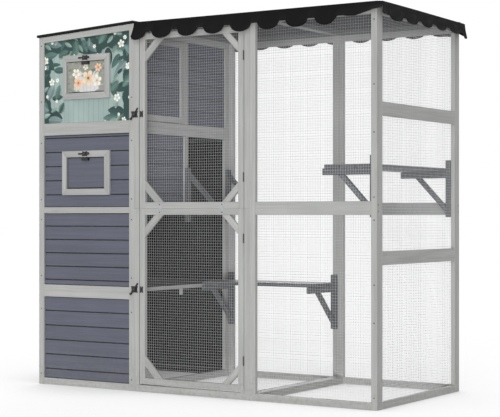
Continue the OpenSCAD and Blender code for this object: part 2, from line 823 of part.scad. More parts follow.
// Screw heads on the faces of the front frames, near the ends of the rails
screw_z = [
    ground_rail + 20, low_rail_z - 61, low_rail_z + wide_rail + 43, thin_rail_z - 31,
    thin_rail_z + stile_w + 38, high_rail_z - 37, high_rail_z + wide_rail + 109, wall_h - 55
];
post_screw_z = [mid_rail_z + side_screw_inset, mid_rail_z + wide_rail - side_screw_inset];

module head(x, z) {
    translate([x, 0, z]) rotate([90, 0, 0]) cylinder(h = screw_t, r = screw_r);
}

module frame_screws() at_origin() color(black) {
    for (z = screw_z) {
        head(stile_w / 2, z);
        head(house_w - stile_w / 2, z);
        head(total_w - stile_w / 2, z);
    }
    along_y(total_w) for (z = post_screw_z) {
        head(frame_t / 2, z);
        head(depth - frame_t / 2, z);
    }
}

// One side of a hinge. The axis is local Z, and the leaf runs along local Y at the given side of it.
// outer is the distance of the mounted face from the axis, and own lists the thirds with a knuckle
module hinge_side(length, r, pin_r, leaf_l, outer, side, own) {
    third = length / 3;
    bore = pin_r + pin_clear;
    x0 = side > 0 ? outer - leaf_t : -outer;
    leaf_y = r + 0.5;
    for (k = own) {
        z0 = -length / 2 + k * third + knuckle_gap / 2;
        h = third - knuckle_gap;
        difference() {
            union() {
                translate([0, 0, z0]) cylinder(h = h, r = r);
                translate([x0, 0, z0]) cube([leaf_t, leaf_y + 1, h]);
            }
            translate([0, 0, z0 - 1]) cylinder(h = h + 2, r = bore);
        }
    }
    translate([x0, leaf_y, -length / 2]) cube([leaf_t, leaf_l - leaf_y, length]);
}

module door_hinge_side(side, own) {
    hinge_side(door_hinge_h, door_knuckle_r, door_pin_r, door_leaf_l, hinge_gap / 2, side, own);
}

module at_door_hinges() {
    for (z = door_hinge_z) translate([door_axis_x, -axis_out, z]) children();
}

module door_hinge_leaves() at_origin() color(shade) at_door_hinges() door_hinge_side(1, [0, 2]);

module door_hinge_straps() at_origin() color(shade) at_door_hinges() door_hinge_side(-1, [1]);

// Flap hinges: the axis runs along X, the fixed leaf lies under it and the moving leaf over it
module at_flap_hinges(z) {
    for (x = [window_x + flap_hinge_inset, window_x + window_w - flap_hinge_inset])
        translate([x, flap_axis_y, z + flap_axis_rise]) rotate([0, 90, 0]) children();
}

module flap_hinge_leaf() {
    hinge_side(flap_hinge_w, flap_knuckle_r, flap_pin_r, flap_leaf_l, flap_axis_rise, 1, [0, 2]);
}

module flap_hinge_strap() {
    hinge_side(flap_hinge_w, flap_knuckle_r, flap_pin_r, flap_leaf_l, flap_clear, -1, [1]);
}

module flap_hinge_leaves() at_origin() color(black) {
    at_flap_hinges(low_window_z) flap_hinge_leaf();
    at_flap_hinges(high_window_z) flap_hinge_leaf();
}

// Hatch hinges: the leaves run towards -X, and the fixed one is nearer the front
module at_hatch_hinges() {
    for (z = hatch_hinge_z)
        translate([house_w + axis_out, hatch_axis_y, z]) rotate([0, 0, 90]) children();
}

module hatch_hinge_leaves() at_origin() color(shade) at_hatch_hinges() door_hinge_side(-1, [0, 2]);

module hatch_hinge_straps() at_origin() color(shade) at_hatch_hinges() door_hinge_side(1, [1]);

module pin(length, r) {
    translate([0, 0, -length / 2]) cylinder(h = length, r = r);
}

module hinge_pins() at_origin() color(shade) {
    at_door_hinges() pin(door_hinge_h, door_pin_r);
    at_hatch_hinges() pin(door_hinge_h, door_pin_r);
    at_flap_hinges(low_window_z) pin(flap_hinge_w, flap_pin_r);
    at_flap_hinges(high_window_z) pin(flap_hinge_w, flap_pin_r);
}

// Door
module door_leaf(z0, z1) {
    for (x = [door_x, door_end_x - stile_w]) stile(x, 0, z0, z1);
    rails(door_x, door_end_x, 0, [[z0, z0 + stile_w], [z1 - stile_w, z1]]);
}

module door_upper_frame() at_origin() color(wood) door_leaf(door_seam_z + seam_half, door_top_z);

module door_lower_frame() at_origin() color(wood) door_leaf(door_low_z, door_seam_z - seam_half);

// Braces in the four corners of one leaf
module leaf_braces(z0, z1) {
    g = joint_gap;
    x0 = door_x + stile_w + g;
    x1 = door_end_x - stile_w - g;
    low = z0 + stile_w + g;
    high = z1 - stile_w - g;
    near = brace_outer;
    far = brace_inner;
    prism([[x0 + near, low], [x0 + far, low], [x0, low + far], [x0, low + near]], 0, brace_t);
    prism([[x1 - near, low], [x1, low + near], [x1, low + far], [x1 - far, low]], 0, brace_t);
    prism([[x0 + near, high], [x0, high - near], [x0, high - far], [x0 + far, high]], 0, brace_t);
    prism([[x1 - near, high], [x1 - far, high], [x1, high - far], [x1, high - near]], 0, brace_t);
}

module door_braces() at_origin() color(wood) {
    leaf_braces(door_low_z, door_seam_z - seam_half);
    leaf_braces(door_seam_z + seam_half, door_top_z);
}

module door_mesh() at_origin() color(wire) {
    x0 = door_x + stile_w - mesh_lap;
    x1 = door_end_x - stile_w + mesh_lap;
    net(x0, x1, door_low_z + stile_w - mesh_lap, door_seam_z - stile_w + mesh_lap, frame_t);
    net(x0, x1, door_seam_z + stile_w - mesh_lap, door_top_z - stile_w + mesh_lap, frame_t);
}

module door_join_plates() at_origin() color(wire) {
    z0 = door_seam_z - join_plate_h / 2;
    for (x = [door_x + join_plate_inset, door_end_x - join_plate_inset])
        box([x - join_plate_w / 2, -join_plate_t, z0], [x + join_plate_w / 2, 0, z0 + join_plate_h]);
}

// Latch base: the seam runs along local Y at +X, and Z points out of the face
module latch_base(base_w, base_h) {
    translate([-base_w / 2, -base_h / 2, 0]) cube([base_w, base_h, latch_plate_t]);
    cylinder(h = boss_z, r = rivet_r + boss_shoulder);
    cylinder(h = lever_high + lever_gap, r = rivet_r);
    translate([0, 0, lever_high + lever_gap]) cylinder(h = head_t, r = rivet_r + head_rim);
}

// Lever turned from its latched place, where the tongue points along +X
module latch_lever(turn) {
    tip_x = tongue_l - tongue_w / 2;
    rotate([0, 0, turn]) translate([0, 0, lever_low]) difference() {
        union() {
            cylinder(h = lever_t, r = lever_disc_r);
            translate([0, -tongue_w / 2, 0]) cube([tip_x, tongue_w, lever_t]);
            translate([tip_x, 0, 0]) cylinder(h = lever_t, r = tongue_w / 2);
            translate([-knob_l, -knob_stem_w / 2, 0]) cube([knob_l, knob_stem_w, lever_t]);
            translate([-knob_l, 0, 0]) cylinder(h = 2 * lever_t, r = knob_r);
        }
        translate([0, 0, -1]) cylinder(h = lever_t + 2, r = rivet_r + pin_clear);
    }
}

// Lays a latch on the front face of the door bay or of the window trim
module at_door_latch(z) {
    translate([jamb_x - door_rivet_inset, 0, z]) rotate([90, 0, 0]) children();
}

module at_flap_latch(z) {
    translate([window_x + window_w / 2, trim_y, z + window_h + flap_rivet_inset])
        rotate([90, 0, 0]) rotate([0, 0, -90]) children();
}

module latch_bases() at_origin() color(black) {
    for (z = door_latch_z) at_door_latch(z) latch_base(latch_base_w, latch_base_h);
    for (z = [low_window_z, high_window_z]) at_flap_latch(z) latch_base(flap_base_h, flap_base_w);
}

module door_upper_latch_lever() at_origin() color(black) {
    at_door_latch(door_latch_z[1]) latch_lever(door_lever_turn);
}

module door_lower_latch_lever() at_origin() color(black) {
    at_door_latch(door_latch_z[0]) latch_lever(door_lever_turn);
}

module upper_flap_latch_lever() at_origin() color(black) {
    at_flap_latch(high_window_z) latch_lever(-flap_lever_turn);
}

module lower_flap_latch_lever() at_origin() color(black) {
    at_flap_latch(low_window_z) latch_lever(-flap_lever_turn);
}

// Keepers take the tongue in front of them
module door_latch_keepers() at_origin() color(black) {
    x1 = door_x + door_keeper_w;
    for (z = door_latch_z)
        box([door_x, -latch_plate_t, z - latch_base_h / 2], [x1, 0, z + latch_base_h / 2]);
}

module flap_panel(z) {
    box([window_x + flap_gap, siding_recess, z + flap_axis_rise + flap_clear],
        [window_x + window_w - flap_gap, siding_recess + flap_t, z + window_h - flap_gap]);
}

// Straps on the lower edge of a flap, and its keeper under the upper edge
module flap_hardware(z) {
    top = z + window_h - flap_gap - keeper_inset;
    mid = window_x + window_w / 2;
    at_flap_hinges(z) flap_hinge_strap();
    box([mid - flap_keeper_w / 2, siding_recess - keeper_rise, top - flap_keeper_h],
        [mid + flap_keeper_w / 2, siding_recess, top]);
}

module upper_flap() at_origin() color(cream) flap_panel(high_window_z);

module lower_flap() at_origin() color(slate) flap_panel(low_window_z);

module upper_flap_hardware() at_origin() color(black) flap_hardware(high_window_z);

module lower_flap_hardware() at_origin() color(black) flap_hardware(low_window_z);

// Hatch in the partition, over the middle rail and in front of the middle stile
module hatch_frame() at_origin() color(wood) along_y(house_w) {
    for (y = [hatch_y, hatch_end_y - stile_w]) stile(y, 0, hatch_low_z, hatch_top_z);
    rails(hatch_y, hatch_end_y, 0,
        [[hatch_low_z, hatch_low_z + stile_w], [hatch_top_z - stile_w, hatch_top_z]]);
}

module hatch_siding() at_origin() color(slate) along_y(house_w) {
    boards(hatch_y + stile_w, hatch_end_y - stile_w, siding_recess,
        hatch_low_z + stile_w, hatch_top_z - stile_w);
}

front_left_frame();
front_middle_frame();
front_right_frame();
right_side_frame();
back_right_frame();
back_middle_frame();
back_left_frame();
left_side_frame();
partition_frame();
ground_tie();
roof_frames();
front_siding();
window_siding();
print_panel();
left_side_siding();
back_siding();
partition_siding();
house_roof();
house_floors();
front_right_mesh();
right_side_mesh();
back_right_mesh();
back_middle_mesh();
roof_mesh();
roof_cover();
front_valance();
right_valance();
back_valance();
upper_shelf_boards();
lower_shelf_boards();
landing_boards();
upper_shelf_brackets();
lower_shelf_brackets();
landing_brackets();
lower_window_trim();
upper_window_trim();
frame_screws();
latch_bases();
door_hinge_leaves();
flap_hinge_leaves();
hatch_hinge_leaves();
hinge_pins();
door_upper_frame();
door_lower_frame();
door_braces();
door_mesh();
door_join_plates();
door_hinge_straps();
door_latch_keepers();
upper_flap();
upper_flap_hardware();
lower_flap();
lower_flap_hardware();
hatch_frame();
hatch_siding();
hatch_hinge_straps();
door_upper_latch_lever();
door_lower_latch_lever();
upper_flap_latch_lever();
lower_flap_latch_lever();
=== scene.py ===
import json
import math
import random
from functools import partialmethod

import bmesh
import bpy
import numpy as np
from mathutils import Matrix, Vector
from mathutils.noise import noise


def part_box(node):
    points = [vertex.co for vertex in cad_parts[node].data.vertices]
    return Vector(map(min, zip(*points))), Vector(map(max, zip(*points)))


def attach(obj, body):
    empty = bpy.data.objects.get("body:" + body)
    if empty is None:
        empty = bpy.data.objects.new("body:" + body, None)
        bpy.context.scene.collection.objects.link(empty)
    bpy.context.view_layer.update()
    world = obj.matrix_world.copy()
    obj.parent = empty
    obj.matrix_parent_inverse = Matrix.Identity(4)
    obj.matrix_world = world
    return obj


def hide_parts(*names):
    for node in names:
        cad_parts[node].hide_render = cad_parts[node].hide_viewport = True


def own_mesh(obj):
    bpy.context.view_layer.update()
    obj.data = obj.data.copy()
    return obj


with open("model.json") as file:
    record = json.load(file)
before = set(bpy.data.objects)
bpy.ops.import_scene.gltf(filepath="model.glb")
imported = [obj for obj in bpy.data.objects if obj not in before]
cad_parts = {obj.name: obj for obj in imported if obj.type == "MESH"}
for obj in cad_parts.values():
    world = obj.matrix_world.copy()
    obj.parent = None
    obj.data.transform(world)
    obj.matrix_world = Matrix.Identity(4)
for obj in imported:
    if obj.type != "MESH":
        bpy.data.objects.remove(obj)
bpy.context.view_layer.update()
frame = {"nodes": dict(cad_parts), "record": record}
record = frame["record"]
BODY_OF = {node: body for body, nodes in record["behaviour"]["bodies"].items() for node in nodes}
SLOT_OF = {part["node"]: part["material_slot"] for part in record["subparts"]}

# Sizes in millimetres from the front left corner of the walls, on the ground
WALL_CORNER = Vector((-0.96165, -0.417, 0))
HOUSE_W = 593
RUN_X = 1249
TOTAL_W = 1899
DEPTH = 834
WALL_H = 1735
STILE_W = 30
FRAME_T = 20
COVER_X = 594.5
COVER_Z = 1757


def at(x, y, z):
    """A point given in millimetres from the corner of the walls, in the row frame."""
    return WALL_CORNER + Vector((x, y, z)) / 1000


def turned_at(x, y, z, turn=0, axis="Z"):
    """The place of something at that point, turned by degrees about an axis."""
    return Matrix.Translation(at(x, y, z)) @ Matrix.Rotation(math.radians(turn), 4, axis)


def paint(red, green, blue):
    """A colour of 0 to 255 as the shader's linear colour."""
    return (*[((c / 255 + 0.055) / 1.055) ** 2.4 if c > 10 else c / 3294.6 for c in (red, green, blue)], 1)


def shown(name, data):
    piece = bpy.data.objects.new(name, data)
    bpy.context.scene.collection.objects.link(piece)
    return piece


# Camera
camera_data = bpy.data.cameras.new("camera")
camera_data.lens = 105.66
camera_data.sensor_width = 36
camera_data.shift_y = 0.0136
camera_data.clip_end = 60
camera = shown("camera", camera_data)
camera.location = (3.885, -6.001, 0.838)
camera.rotation_euler = (math.pi / 2, 0, math.radians(32.78))
bpy.context.scene.camera = camera
bpy.context.scene.view_settings.view_transform = "Standard"


# Node trees
class Value:
    """What a socket puts out. It is reckoned with like a number, and each step becomes a node."""

    def __init__(self, socket):
        self.socket = socket

    def clamped(self):
        self.socket.node.use_clamp = True
        return self

    def step(self, operation, other):
        return reckon(operation, self, other)

    def step_from(self, operation, other):
        return reckon(operation, other, self)

    __add__ = partialmethod(step, "ADD")
    __sub__ = partialmethod(step, "SUBTRACT")
    __rsub__ = partialmethod(step_from, "SUBTRACT")
    __mul__ = partialmethod(step, "MULTIPLY")
    __truediv__ = partialmethod(step, "DIVIDE")
    __rtruediv__ = partialmethod(step_from, "DIVIDE")
    __pow__ = partialmethod(step, "POWER")


def tree_of(inputs):
    """The tree of whichever input is a Value."""
    return next(given.socket.id_data for given in inputs if isinstance(given, Value))


def link(given, socket):
    """Gives a socket a plain value, or what another node puts out."""
    if isinstance(given, Value):
        socket.id_data.links.new(given.socket, socket)
    else:
        socket.default_value = given


def add_node(tree, kind, inputs, settings):
    """A new node, in the tree of its inputs where none is given."""
    node = (tree or tree_of(inputs.values())).nodes.new(kind)
    for name, setting in settings.items():
        setattr(node, name, setting)
    for name, given in inputs.items():
        link(given, node.inputs[name])
    return node


def made(kind, inputs={}, pick=0, tree=None, **settings):
    """One of the values that a new node puts out."""
    return Value(add_node(tree, kind, inputs, settings).outputs[pick])


def all_made(kind, inputs={}, tree=None, **settings):
    """All that a new node puts out, by name."""
    return {socket.name: Value(socket) for socket in add_node(tree, kind, inputs, settings).outputs}


def reckon(operation, *inputs):
    return made("ShaderNodeMath", dict(enumerate(inputs)), operation=operation)


def vector_step(operation, *inputs, pick=0):
    return made("ShaderNodeVectorMath", dict(enumerate(inputs)), pick, operation=operation)


def scaled(vector, factors):
    return vector_step("MULTIPLY", vector, factors)


def turned(vector, angle):
    return made("ShaderNodeVectorRotate", {"Vector": vector, "Angle": angle}, rotation_type="Z_AXIS")


def split(vector):
    return all_made("ShaderNodeSeparateXYZ", {0: vector})


def xyz(**axes):
    return made("ShaderNodeCombineXYZ", axes)


def ramp(value, low, high, to_low=0, to_high=1, smooth=True):
    """value between low and high, brought to between to_low and to_high."""
    inputs = {"Value": value, "From Min": low, "From Max": high, "To Min": to_low, "To Max": to_high}
    kind = "SMOOTHSTEP" if smooth else "LINEAR"
    return made("ShaderNodeMapRange", inputs, "Result", interpolation_type=kind)


def blend(share, first, second):
    """A colour between two others."""
    return made("ShaderNodeMix", {0: share, 6: first, 7: second}, 2, data_type="RGBA")


def toned(colour, tone):
    return made("ShaderNodeHueSaturation", {"Color": colour, "Value": tone})


def rough_noise(vector, scale, detail=3, roughness=0.5):
    inputs = {"Vector": vector, "Scale": scale, "Detail": detail, "Roughness": roughness}
    return made("ShaderNodeTexNoise", inputs, "Fac")


def group(name, inputs, outputs, kind="ShaderNodeTree"):
    """A node group, with the values that come in and the sockets that its own go out by.
    inputs and outputs name the sockets of each form."""
    tree = bpy.data.node_groups.new(name, kind)
    for way, forms in (("INPUT", inputs), ("OUTPUT", outputs)):
        for form, labels in forms.items():
            for label in labels.split():
                tree.interface.new_socket(name=label, in_out=way, socket_type="NodeSocket" + form)
    return tree, all_made("NodeGroupInput", tree=tree), tree.nodes.new("NodeGroupOutput").inputs


def use(effect, **values):
    """An effect's group placed in the tree of its values."""
    return all_made("ShaderNodeGroup", values, node_tree=effect)


# Effects that several materials share
def build_grain():
    """Fibres and broad bands that run along a board. Grain is a mask, and Height is for bump."""
    tree, source, target = group("board_grain", {"Vector": "Vector"}, {"Float": "Grain Height Knots"})
    place = source["Vector"]
    wave = rough_noise(scaled(place, (3, 9, 9)), 1, 2) * 0.012 + 0.006
    bent = vector_step("ADD", place, xyz(Y=wave, Z=wave))
    fibres = rough_noise(scaled(bent, (7, 420, 420)), 1, 4, 0.65)
    bands = rough_noise(scaled(bent, (2.2, 85, 85)), 1, 3, 0.55)
    link(ramp(fibres * 0.45 + bands * 0.55, 0.34, 0.66), target["Grain"])
    link(fibres * 0.7 + bands * 0.3, target["Height"])
    spread = scaled(place, (2.6, 11, 11))
    cells = made("ShaderNodeTexVoronoi", {"Vector": spread, "Scale": 1}, "Distance")
    link(ramp(cells, 0.13, 0.05), target["Knots"])
    return tree


def build_wear():
    """Paint rubbed off along eased edges, patchy. Edge is 1 on an eased edge."""
    tree, source, target = group("edge_wear", {"Vector": "Vector", "Float": "Edge Amount"},
                                 {"Float": "Mask"})
    bare = ramp(rough_noise(source["Vector"], 34, 5, 0.6), 0.5, 0.62)
    link((bare * source["Edge"] * source["Amount"]).clamped(), target["Mask"])
    return tree


def build_dust():
    """Dust and splashes, more of them near the ground and on what faces up."""
    tree, source, target = group("ground_dust", {"Vector": "Vector", "Float": "Reach"},
                                 {"Float": "Dust Blotches"})
    place = source["Vector"]
    low = (1 - split(place)["Z"] / source["Reach"]).clamped()
    spots = rough_noise(place, 55, 5, 0.65)
    up = split(made("ShaderNodeNewGeometry", pick="Normal", tree=tree))["Z"]
    settled = ramp(up, 0.5, 0.95) * ramp(spots, 0.35, 0.65, 0.15, 0.5)
    link(reckon("MAXIMUM", low * ramp(spots, 0.42, 0.7), settled), target["Dust"])
    link(ramp(rough_noise(place, 5, 3, 0.5), 0.35, 0.65), target["Blotches"])
    return tree


# How much clearer of leaves a print's lower middle is than its sides
CLEARING = 0.7
CELL_VECTORS = "Vector Size"
CELL_NUMBERS = "Cell Turn Seed Reach Share"
FLOWER_COLOURS = "Ground Deep Pale Eye"


def from_edge(x, y, width, height):
    """How far a place of a board is from its edges. The lower edge counts as farther at its middle."""
    sideways = reckon("MINIMUM", x, width - x)
    return reckon("MINIMUM", sideways, reckon("MINIMUM", sideways * CLEARING + y, height - y))


def build_scatter():
    """A turned grid of cells, fewer of them in use away from the edges of a board.
    Inside is the place in a cell, already turned to face the middle of the board, give or take."""
    tree, source, target = group("edge_scatter", {"Vector": CELL_VECTORS, "Float": CELL_NUMBERS},
                                 {"Vector": "Inside", "Float": "Used Tint"})
    grid = scaled(turned(source["Vector"], source["Turn"]), 1 / source["Cell"])
    whole = vector_step("FLOOR", grid)
    draws = made("ShaderNodeTexWhiteNoise", {"Vector": whole, "W": source["Seed"]}, "Color",
                 noise_dimensions="4D")
    draw = all_made("ShaderNodeSeparateColor", {0: draws})
    middle = vector_step("ADD", whole, (0.5, 0.5, 0))
    inside = vector_step("SUBTRACT", grid, middle)
    spot = split(turned(scaled(middle, source["Cell"]), source["Turn"] * -1))
    size = split(source["Size"])
    near = from_edge(spot["X"], spot["Y"], size["X"], size["Y"])
    share = (1 - near / source["Reach"]).clamped() ** 0.45 * source["Share"]
    link(reckon("LESS_THAN", draw["Red"], share), target["Used"])
    aim = reckon("ARCTAN2", size["Y"] * 0.5 - spot["Y"], size["X"] * 0.5 - spot["X"])
    aim = aim + source["Turn"] + (draw["Green"] * 2.6 - 1.3)
    link(turned(inside, aim * -1), target["Inside"])
    link(draw["Blue"], target["Tint"])
    return tree


SCATTER = build_scatter()


def in_cell(source):
    return use(SCATTER, **{label: source[label] for label in (CELL_VECTORS + " " + CELL_NUMBERS).split()})


def build_leaf_layer():
    """A layer of printed leaves with ribs, one to a cell. Lobes cuts their edges like a fern's."""
    tree, source, target = group("leaf_layer", {
        "Vector": CELL_VECTORS, "Float": CELL_NUMBERS + " Width Lobes", "Color": "Ground Deep Pale"},
        {"Color": "Colour"})
    cell = in_cell(source)
    spot = split(cell["Inside"])
    length = ramp(cell["Tint"], 0, 1, 0.74, 0.96, smooth=False)
    along = (spot["X"] / length + 0.5).clamped()
    across = spot["Y"] / length
    side = reckon("ABSOLUTE", across)
    half = along ** 0.6 * (1 - along) ** 0.85 * 1.33 * source["Width"]
    teeth = reckon("SINE", (side * -1.1 + along) * 52)
    half += teeth * source["Lobes"] * half
    shape = ramp(half - side, 0, 0.03) * cell["Used"]
    veins = ramp(reckon("PINGPONG", side * -0.5 + along, 0.06), 0.012, 0.003)
    lines = reckon("MAXIMUM", ramp(side, 0.03, 0.01), veins * 0.4)
    tone = ramp(across, -0.12, 0.12, 0.82, 1.1) * ramp(along, 0, 1, 0.84, 1.12)
    body = blend(cell["Tint"], source["Deep"], source["Pale"])
    inked = blend(lines * 0.55, toned(body, tone), toned(body, 1.5))
    link(blend(shape, source["Ground"], inked), target["Colour"])
    return tree


def petals(place, count):
    """A flower's edge in the direction of a place, the place's distance from the eye and its petal."""
    spot = split(place)
    turn = reckon("ARCTAN2", spot["Y"], spot["X"])
    out = vector_step("LENGTH", xyz(X=spot["X"], Y=spot["Y"]), pick="Value")
    petal = reckon("ABSOLUTE", reckon("COSINE", turn * count * 0.5))
    return petal ** 0.55 * 0.6 + 0.4, out, petal


def flower_colour(source, shape, fold, eye):
    body = blend(eye, blend(fold, source["Deep"], source["Pale"]), source["Eye"])
    return blend(shape, source["Ground"], body)


def build_bloom_layer():
    """A layer of printed flowers, one to a cell, each with petals round a small eye."""
    tree, source, target = group("bloom_layer", {
        "Vector": CELL_VECTORS, "Float": CELL_NUMBERS + " Radius Petals", "Color": FLOWER_COLOURS},
        {"Color": "Colour"})
    cell = in_cell(source)
    radius = ramp(cell["Tint"], 0, 1, 0.7, 1, smooth=False) * source["Radius"]
    edge, out, petal = petals(scaled(cell["Inside"], 1 / radius), source["Petals"])
    shape = ramp(edge - out, 0, 0.08) * cell["Used"]
    fold = ramp(petal, 0, 0.4) * ramp(out, 0.1, 0.7)
    link(flower_colour(source, shape, fold, ramp(out, 0.24, 0.16)), target["Colour"])
    return tree


def build_bloom():
    """One large printed flower at a place of its own."""
    tree, source, target = group("printed_bloom", {
        "Vector": "Vector Place", "Float": "Turn Radius Petals", "Color": FLOWER_COLOURS},
        {"Color": "Colour"})
    off = turned(vector_step("SUBTRACT", source["Vector"], source["Place"]), source["Turn"])
    edge, out, petal = petals(scaled(off, 1 / source["Radius"]), source["Petals"])
    fold = ramp(petal, 0, 0.5, 0.1, 1) * ramp(out, 0.05, 0.75, 0.25, 1)
    fold = (reckon("SINE", petal * 26) * 0.07 + fold).clamped()
    shape = ramp(edge - out, 0, 0.04)
    link(flower_colour(source, shape, fold, ramp(out, 0.2, 0.14)), target["Colour"])
    return tree


GRAIN = build_grain()
WEAR = build_wear()
DUST = build_dust()
LEAVES = build_leaf_layer()
BLOOMS = build_bloom_layer()
BLOOM = build_bloom()

# Materials
DIRT = paint(122, 114, 100)
# Near black for the faces inside the house: painted shade
INSIDE_PAINTED_SHADE = paint(13, 13, 14)
BARE_WOOD = paint(176, 158, 132)
BARE_BOARD = paint(150, 132, 104)
MATT = 0.35


def new_material(name):
    material = bpy.data.materials.new(name)
    material.use_nodes = True
    tree = material.node_tree
    place = made("ShaderNodeTexCoord", pick="Object", tree=tree)
    return material, tree, tree.nodes["Principled BSDF"].inputs, place


def attribute(tree, name, pick="Fac"):
    return made("ShaderNodeAttribute", pick=pick, tree=tree, attribute_name=name)


def finish(shader, colour, roughness, height, strength, distance, specular=0.5):
    """Gives a shader its colour, its gloss and its relief."""
    link(colour, shader["Base Color"])
    link(roughness, shader["Roughness"])
    link(specular, shader["Specular IOR Level"])
    inputs = {"Height": height, "Strength": strength, "Distance": distance}
    link(made("ShaderNodeBump", inputs), shader["Normal"])


def dusted(colour, place, reach, share):
    return blend(use(DUST, Vector=place, Reach=reach)["Dust"] * share, colour, DIRT)


def rubbed(colour, place, amount, bare):
    """A colour with its eased edges rubbed bare."""
    edge = attribute(tree_of([place]), "edge")
    return blend(use(WEAR, Edge=edge, Vector=place, Amount=amount)["Mask"], colour, bare)


def painted_wood(name, colour, low_tone=0.9, high_tone=1.05, wear=0.55, roughness=(0.5, 0.68), relief=0.22,
                 seam_shade=1):
    """Brushed paint over sawn boards: the grain shows through, and each board differs a little.
    The last argument is the tone of the eased edges: painted shade that darkens the seams between boards."""
    material, tree, shader, place = new_material(name)
    grain = use(GRAIN, Vector=attribute(tree, "grain", "Vector"))
    dusty = use(DUST, Vector=place, Reach=0.22)
    tone = ramp(grain["Grain"], 0, 1, low_tone, high_tone)
    tone *= ramp(attribute(tree, "board"), 0, 1, 0.965, 1.03, smooth=False)
    tone *= ramp(dusty["Blotches"], 0, 1, 0.975, 1.015)
    # The eased edges darker: painted shade in the seams between boards
    tone *= ramp(attribute(tree, "edge"), 0, 1, 1, seam_shade, smooth=False)
    body = blend(grain["Knots"] * 0.22, toned(paint(*colour), tone), paint(*[c * 0.72 for c in colour]))
    body = rubbed(body, place, wear, BARE_WOOD)
    body = blend(dusty["Dust"] * 0.35, body, DIRT)
    # Faces inside the house painted near black as shade
    body = blend(attribute(tree, "inside"), body, INSIDE_PAINTED_SHADE)
    gloss = ramp(grain["Grain"], 0, 1, roughness[1], roughness[0])
    gloss = reckon("MAXIMUM", gloss, dusty["Dust"] * 0.8)
    finish(shader, body, gloss, grain["Height"], relief, 0.0012, MATT)
    return material


def metal(name, colour, roughness, metallic, dust, wear=0, worn=150):
    """Painted or zinc-plated steel with rubbed edges and fine speckle."""
    material, tree, shader, place = new_material(name)
    speckle = rough_noise(place, 900, 3, 0.6)
    smears = rough_noise(place, 70, 4, 0.6)
    tone = ramp(smears, 0.3, 0.7, 0.88, 1.08) * ramp(speckle, 0.3, 0.7, 0.93, 1.06)
    body = rubbed(toned(paint(*colour), tone), place, wear, paint(worn, worn, worn))
    finish(shader, dusted(body, place, 0.15, dust), ramp(smears, 0.3, 0.7, *roughness), speckle, 0.12, 0.0004)
    link(metallic, shader["Metallic"])
    return material


def cloth_material():
    """Coated woven cloth: a fine weave, soft creases and a little dust along the top."""
    material, tree, shader, place = new_material("cover_cloth")
    weave_at = attribute(tree, "weave", "Vector")
    rows = split(scaled(weave_at, (1900, 1900, 0)))
    threads = reckon("SINE", rows["X"]) * reckon("SINE", rows["Y"]) * 0.5 + 0.5
    creases = rough_noise(scaled(weave_at, (16, 30, 1)), 1, 5, 0.55)
    fade = rough_noise(place, 6, 4, 0.5)
    tone = ramp(creases, 0.3, 0.7, 0.86, 1.14) * ramp(fade, 0.3, 0.7, 0.92, 1.1)
    body = toned(paint(13, 12.5, 14), tone)
    body = blend(attribute(tree, "hem") * 0.35, body, paint(8, 8, 9))
    body = dusted(body, place, 0.1, 0.08)
    finish(shader, body, ramp(creases, 0.3, 0.7, 0.62, 0.78), threads * 0.15 + creases, 0.35, 0.002, 0.1)
    return material


def felt_material():
    """Mineral roofing felt: dark granules with some lighter ones."""
    material, tree, shader, place = new_material("roof_felt")
    grains = all_made("ShaderNodeTexVoronoi", {"Vector": place, "Scale": 700})
    light = made("ShaderNodeSeparateColor", {0: grains["Color"]}, "Red")
    streaks = rough_noise(place, 14, 4, 0.55)
    tone = ramp(light, 0.2, 1, 0.75, 1.5, smooth=False) * ramp(streaks, 0.3, 0.7, 0.85, 1.1)
    body = dusted(toned(paint(20, 20, 21), tone), place, 0.1, 0.06)
    finish(shader, body, 0.85, grains["Distance"], 0.6, 0.0012, 0.2)
    return material


def printed(name, node, ground, plank, shade, layers, flowers):
    """A printed board: upright plank lines, a shade that deepens toward the edges, and layers of leaves and
    flowers. A layer is (effect, cell in mm, turn, reach in mm, share, inputs of its own)."""
    low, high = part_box(node)
    width = high.x - low.x
    height = high.z - low.z
    material, tree, shader, place = new_material(name)
    x = split(place)["X"] - low.x
    y = split(place)["Z"] - low.z
    local = xyz(X=x, Y=y)
    line = ramp(reckon("PINGPONG", x / plank, 0.5), 0.06, 0.02)
    stripe = made("ShaderNodeTexWhiteNoise", {"W": reckon("FLOOR", x / plank)}, "Value",
                  noise_dimensions="1D")
    wash = rough_noise(local, 7, 3, 0.5)
    tone = ramp(stripe, 0, 1, 0.96, 1.03) * ramp(wash, 0.3, 0.7, 0.92, 1.06)
    colour = blend(line * 0.45, toned(paint(*ground), tone), paint(*[c * 0.66 for c in ground]))
    uneven = rough_noise(local, 16, 2, 0.5) * -0.09 + from_edge(x, y, width, 0.9 * height)
    colour = blend(ramp(uneven, 0.004, -0.006), colour, paint(*shade))
    for effect, cell, turn, reach, share, own in layers:
        colour = use(effect, Vector=local, Cell=cell / 1000, Turn=math.radians(turn),
                     Seed=turn * 0.37 + cell, Size=(width, 0.94 * height, 0), Reach=reach / 1000,
                     Share=share, Ground=colour, **own)["Colour"]
    for across, up, turn, radius, own in flowers:
        colour = use(BLOOM, Vector=local, Place=(across / 1000, up / 1000, 0), Turn=math.radians(turn),
                     Radius=radius / 1000, Ground=colour, **own)["Colour"]
    colour = dusted(rubbed(colour, place, 0.5, BARE_BOARD), place, 0.1, 0.2)
    # Faces inside the house painted near black as shade
    colour = blend(attribute(tree, "inside"), colour, INSIDE_PAINTED_SHADE)
    fine = rough_noise(place, 420, 3, 0.5)
    finish(shader, colour, ramp(fine, 0.3, 0.7, 0.42, 0.54), fine, 0.08, 0.0005, MATT)
    return material


def leaf(deep, pale, width=0.4, lobes=0):
    return {"Deep": paint(*deep), "Pale": paint(*pale), "Width": width, "Lobes": lobes}


def bloom(deep, pale, eye, count=5, **size):
    return {"Deep": paint(*deep), "Pale": paint(*pale), "Eye": paint(*eye), "Petals": count} | size


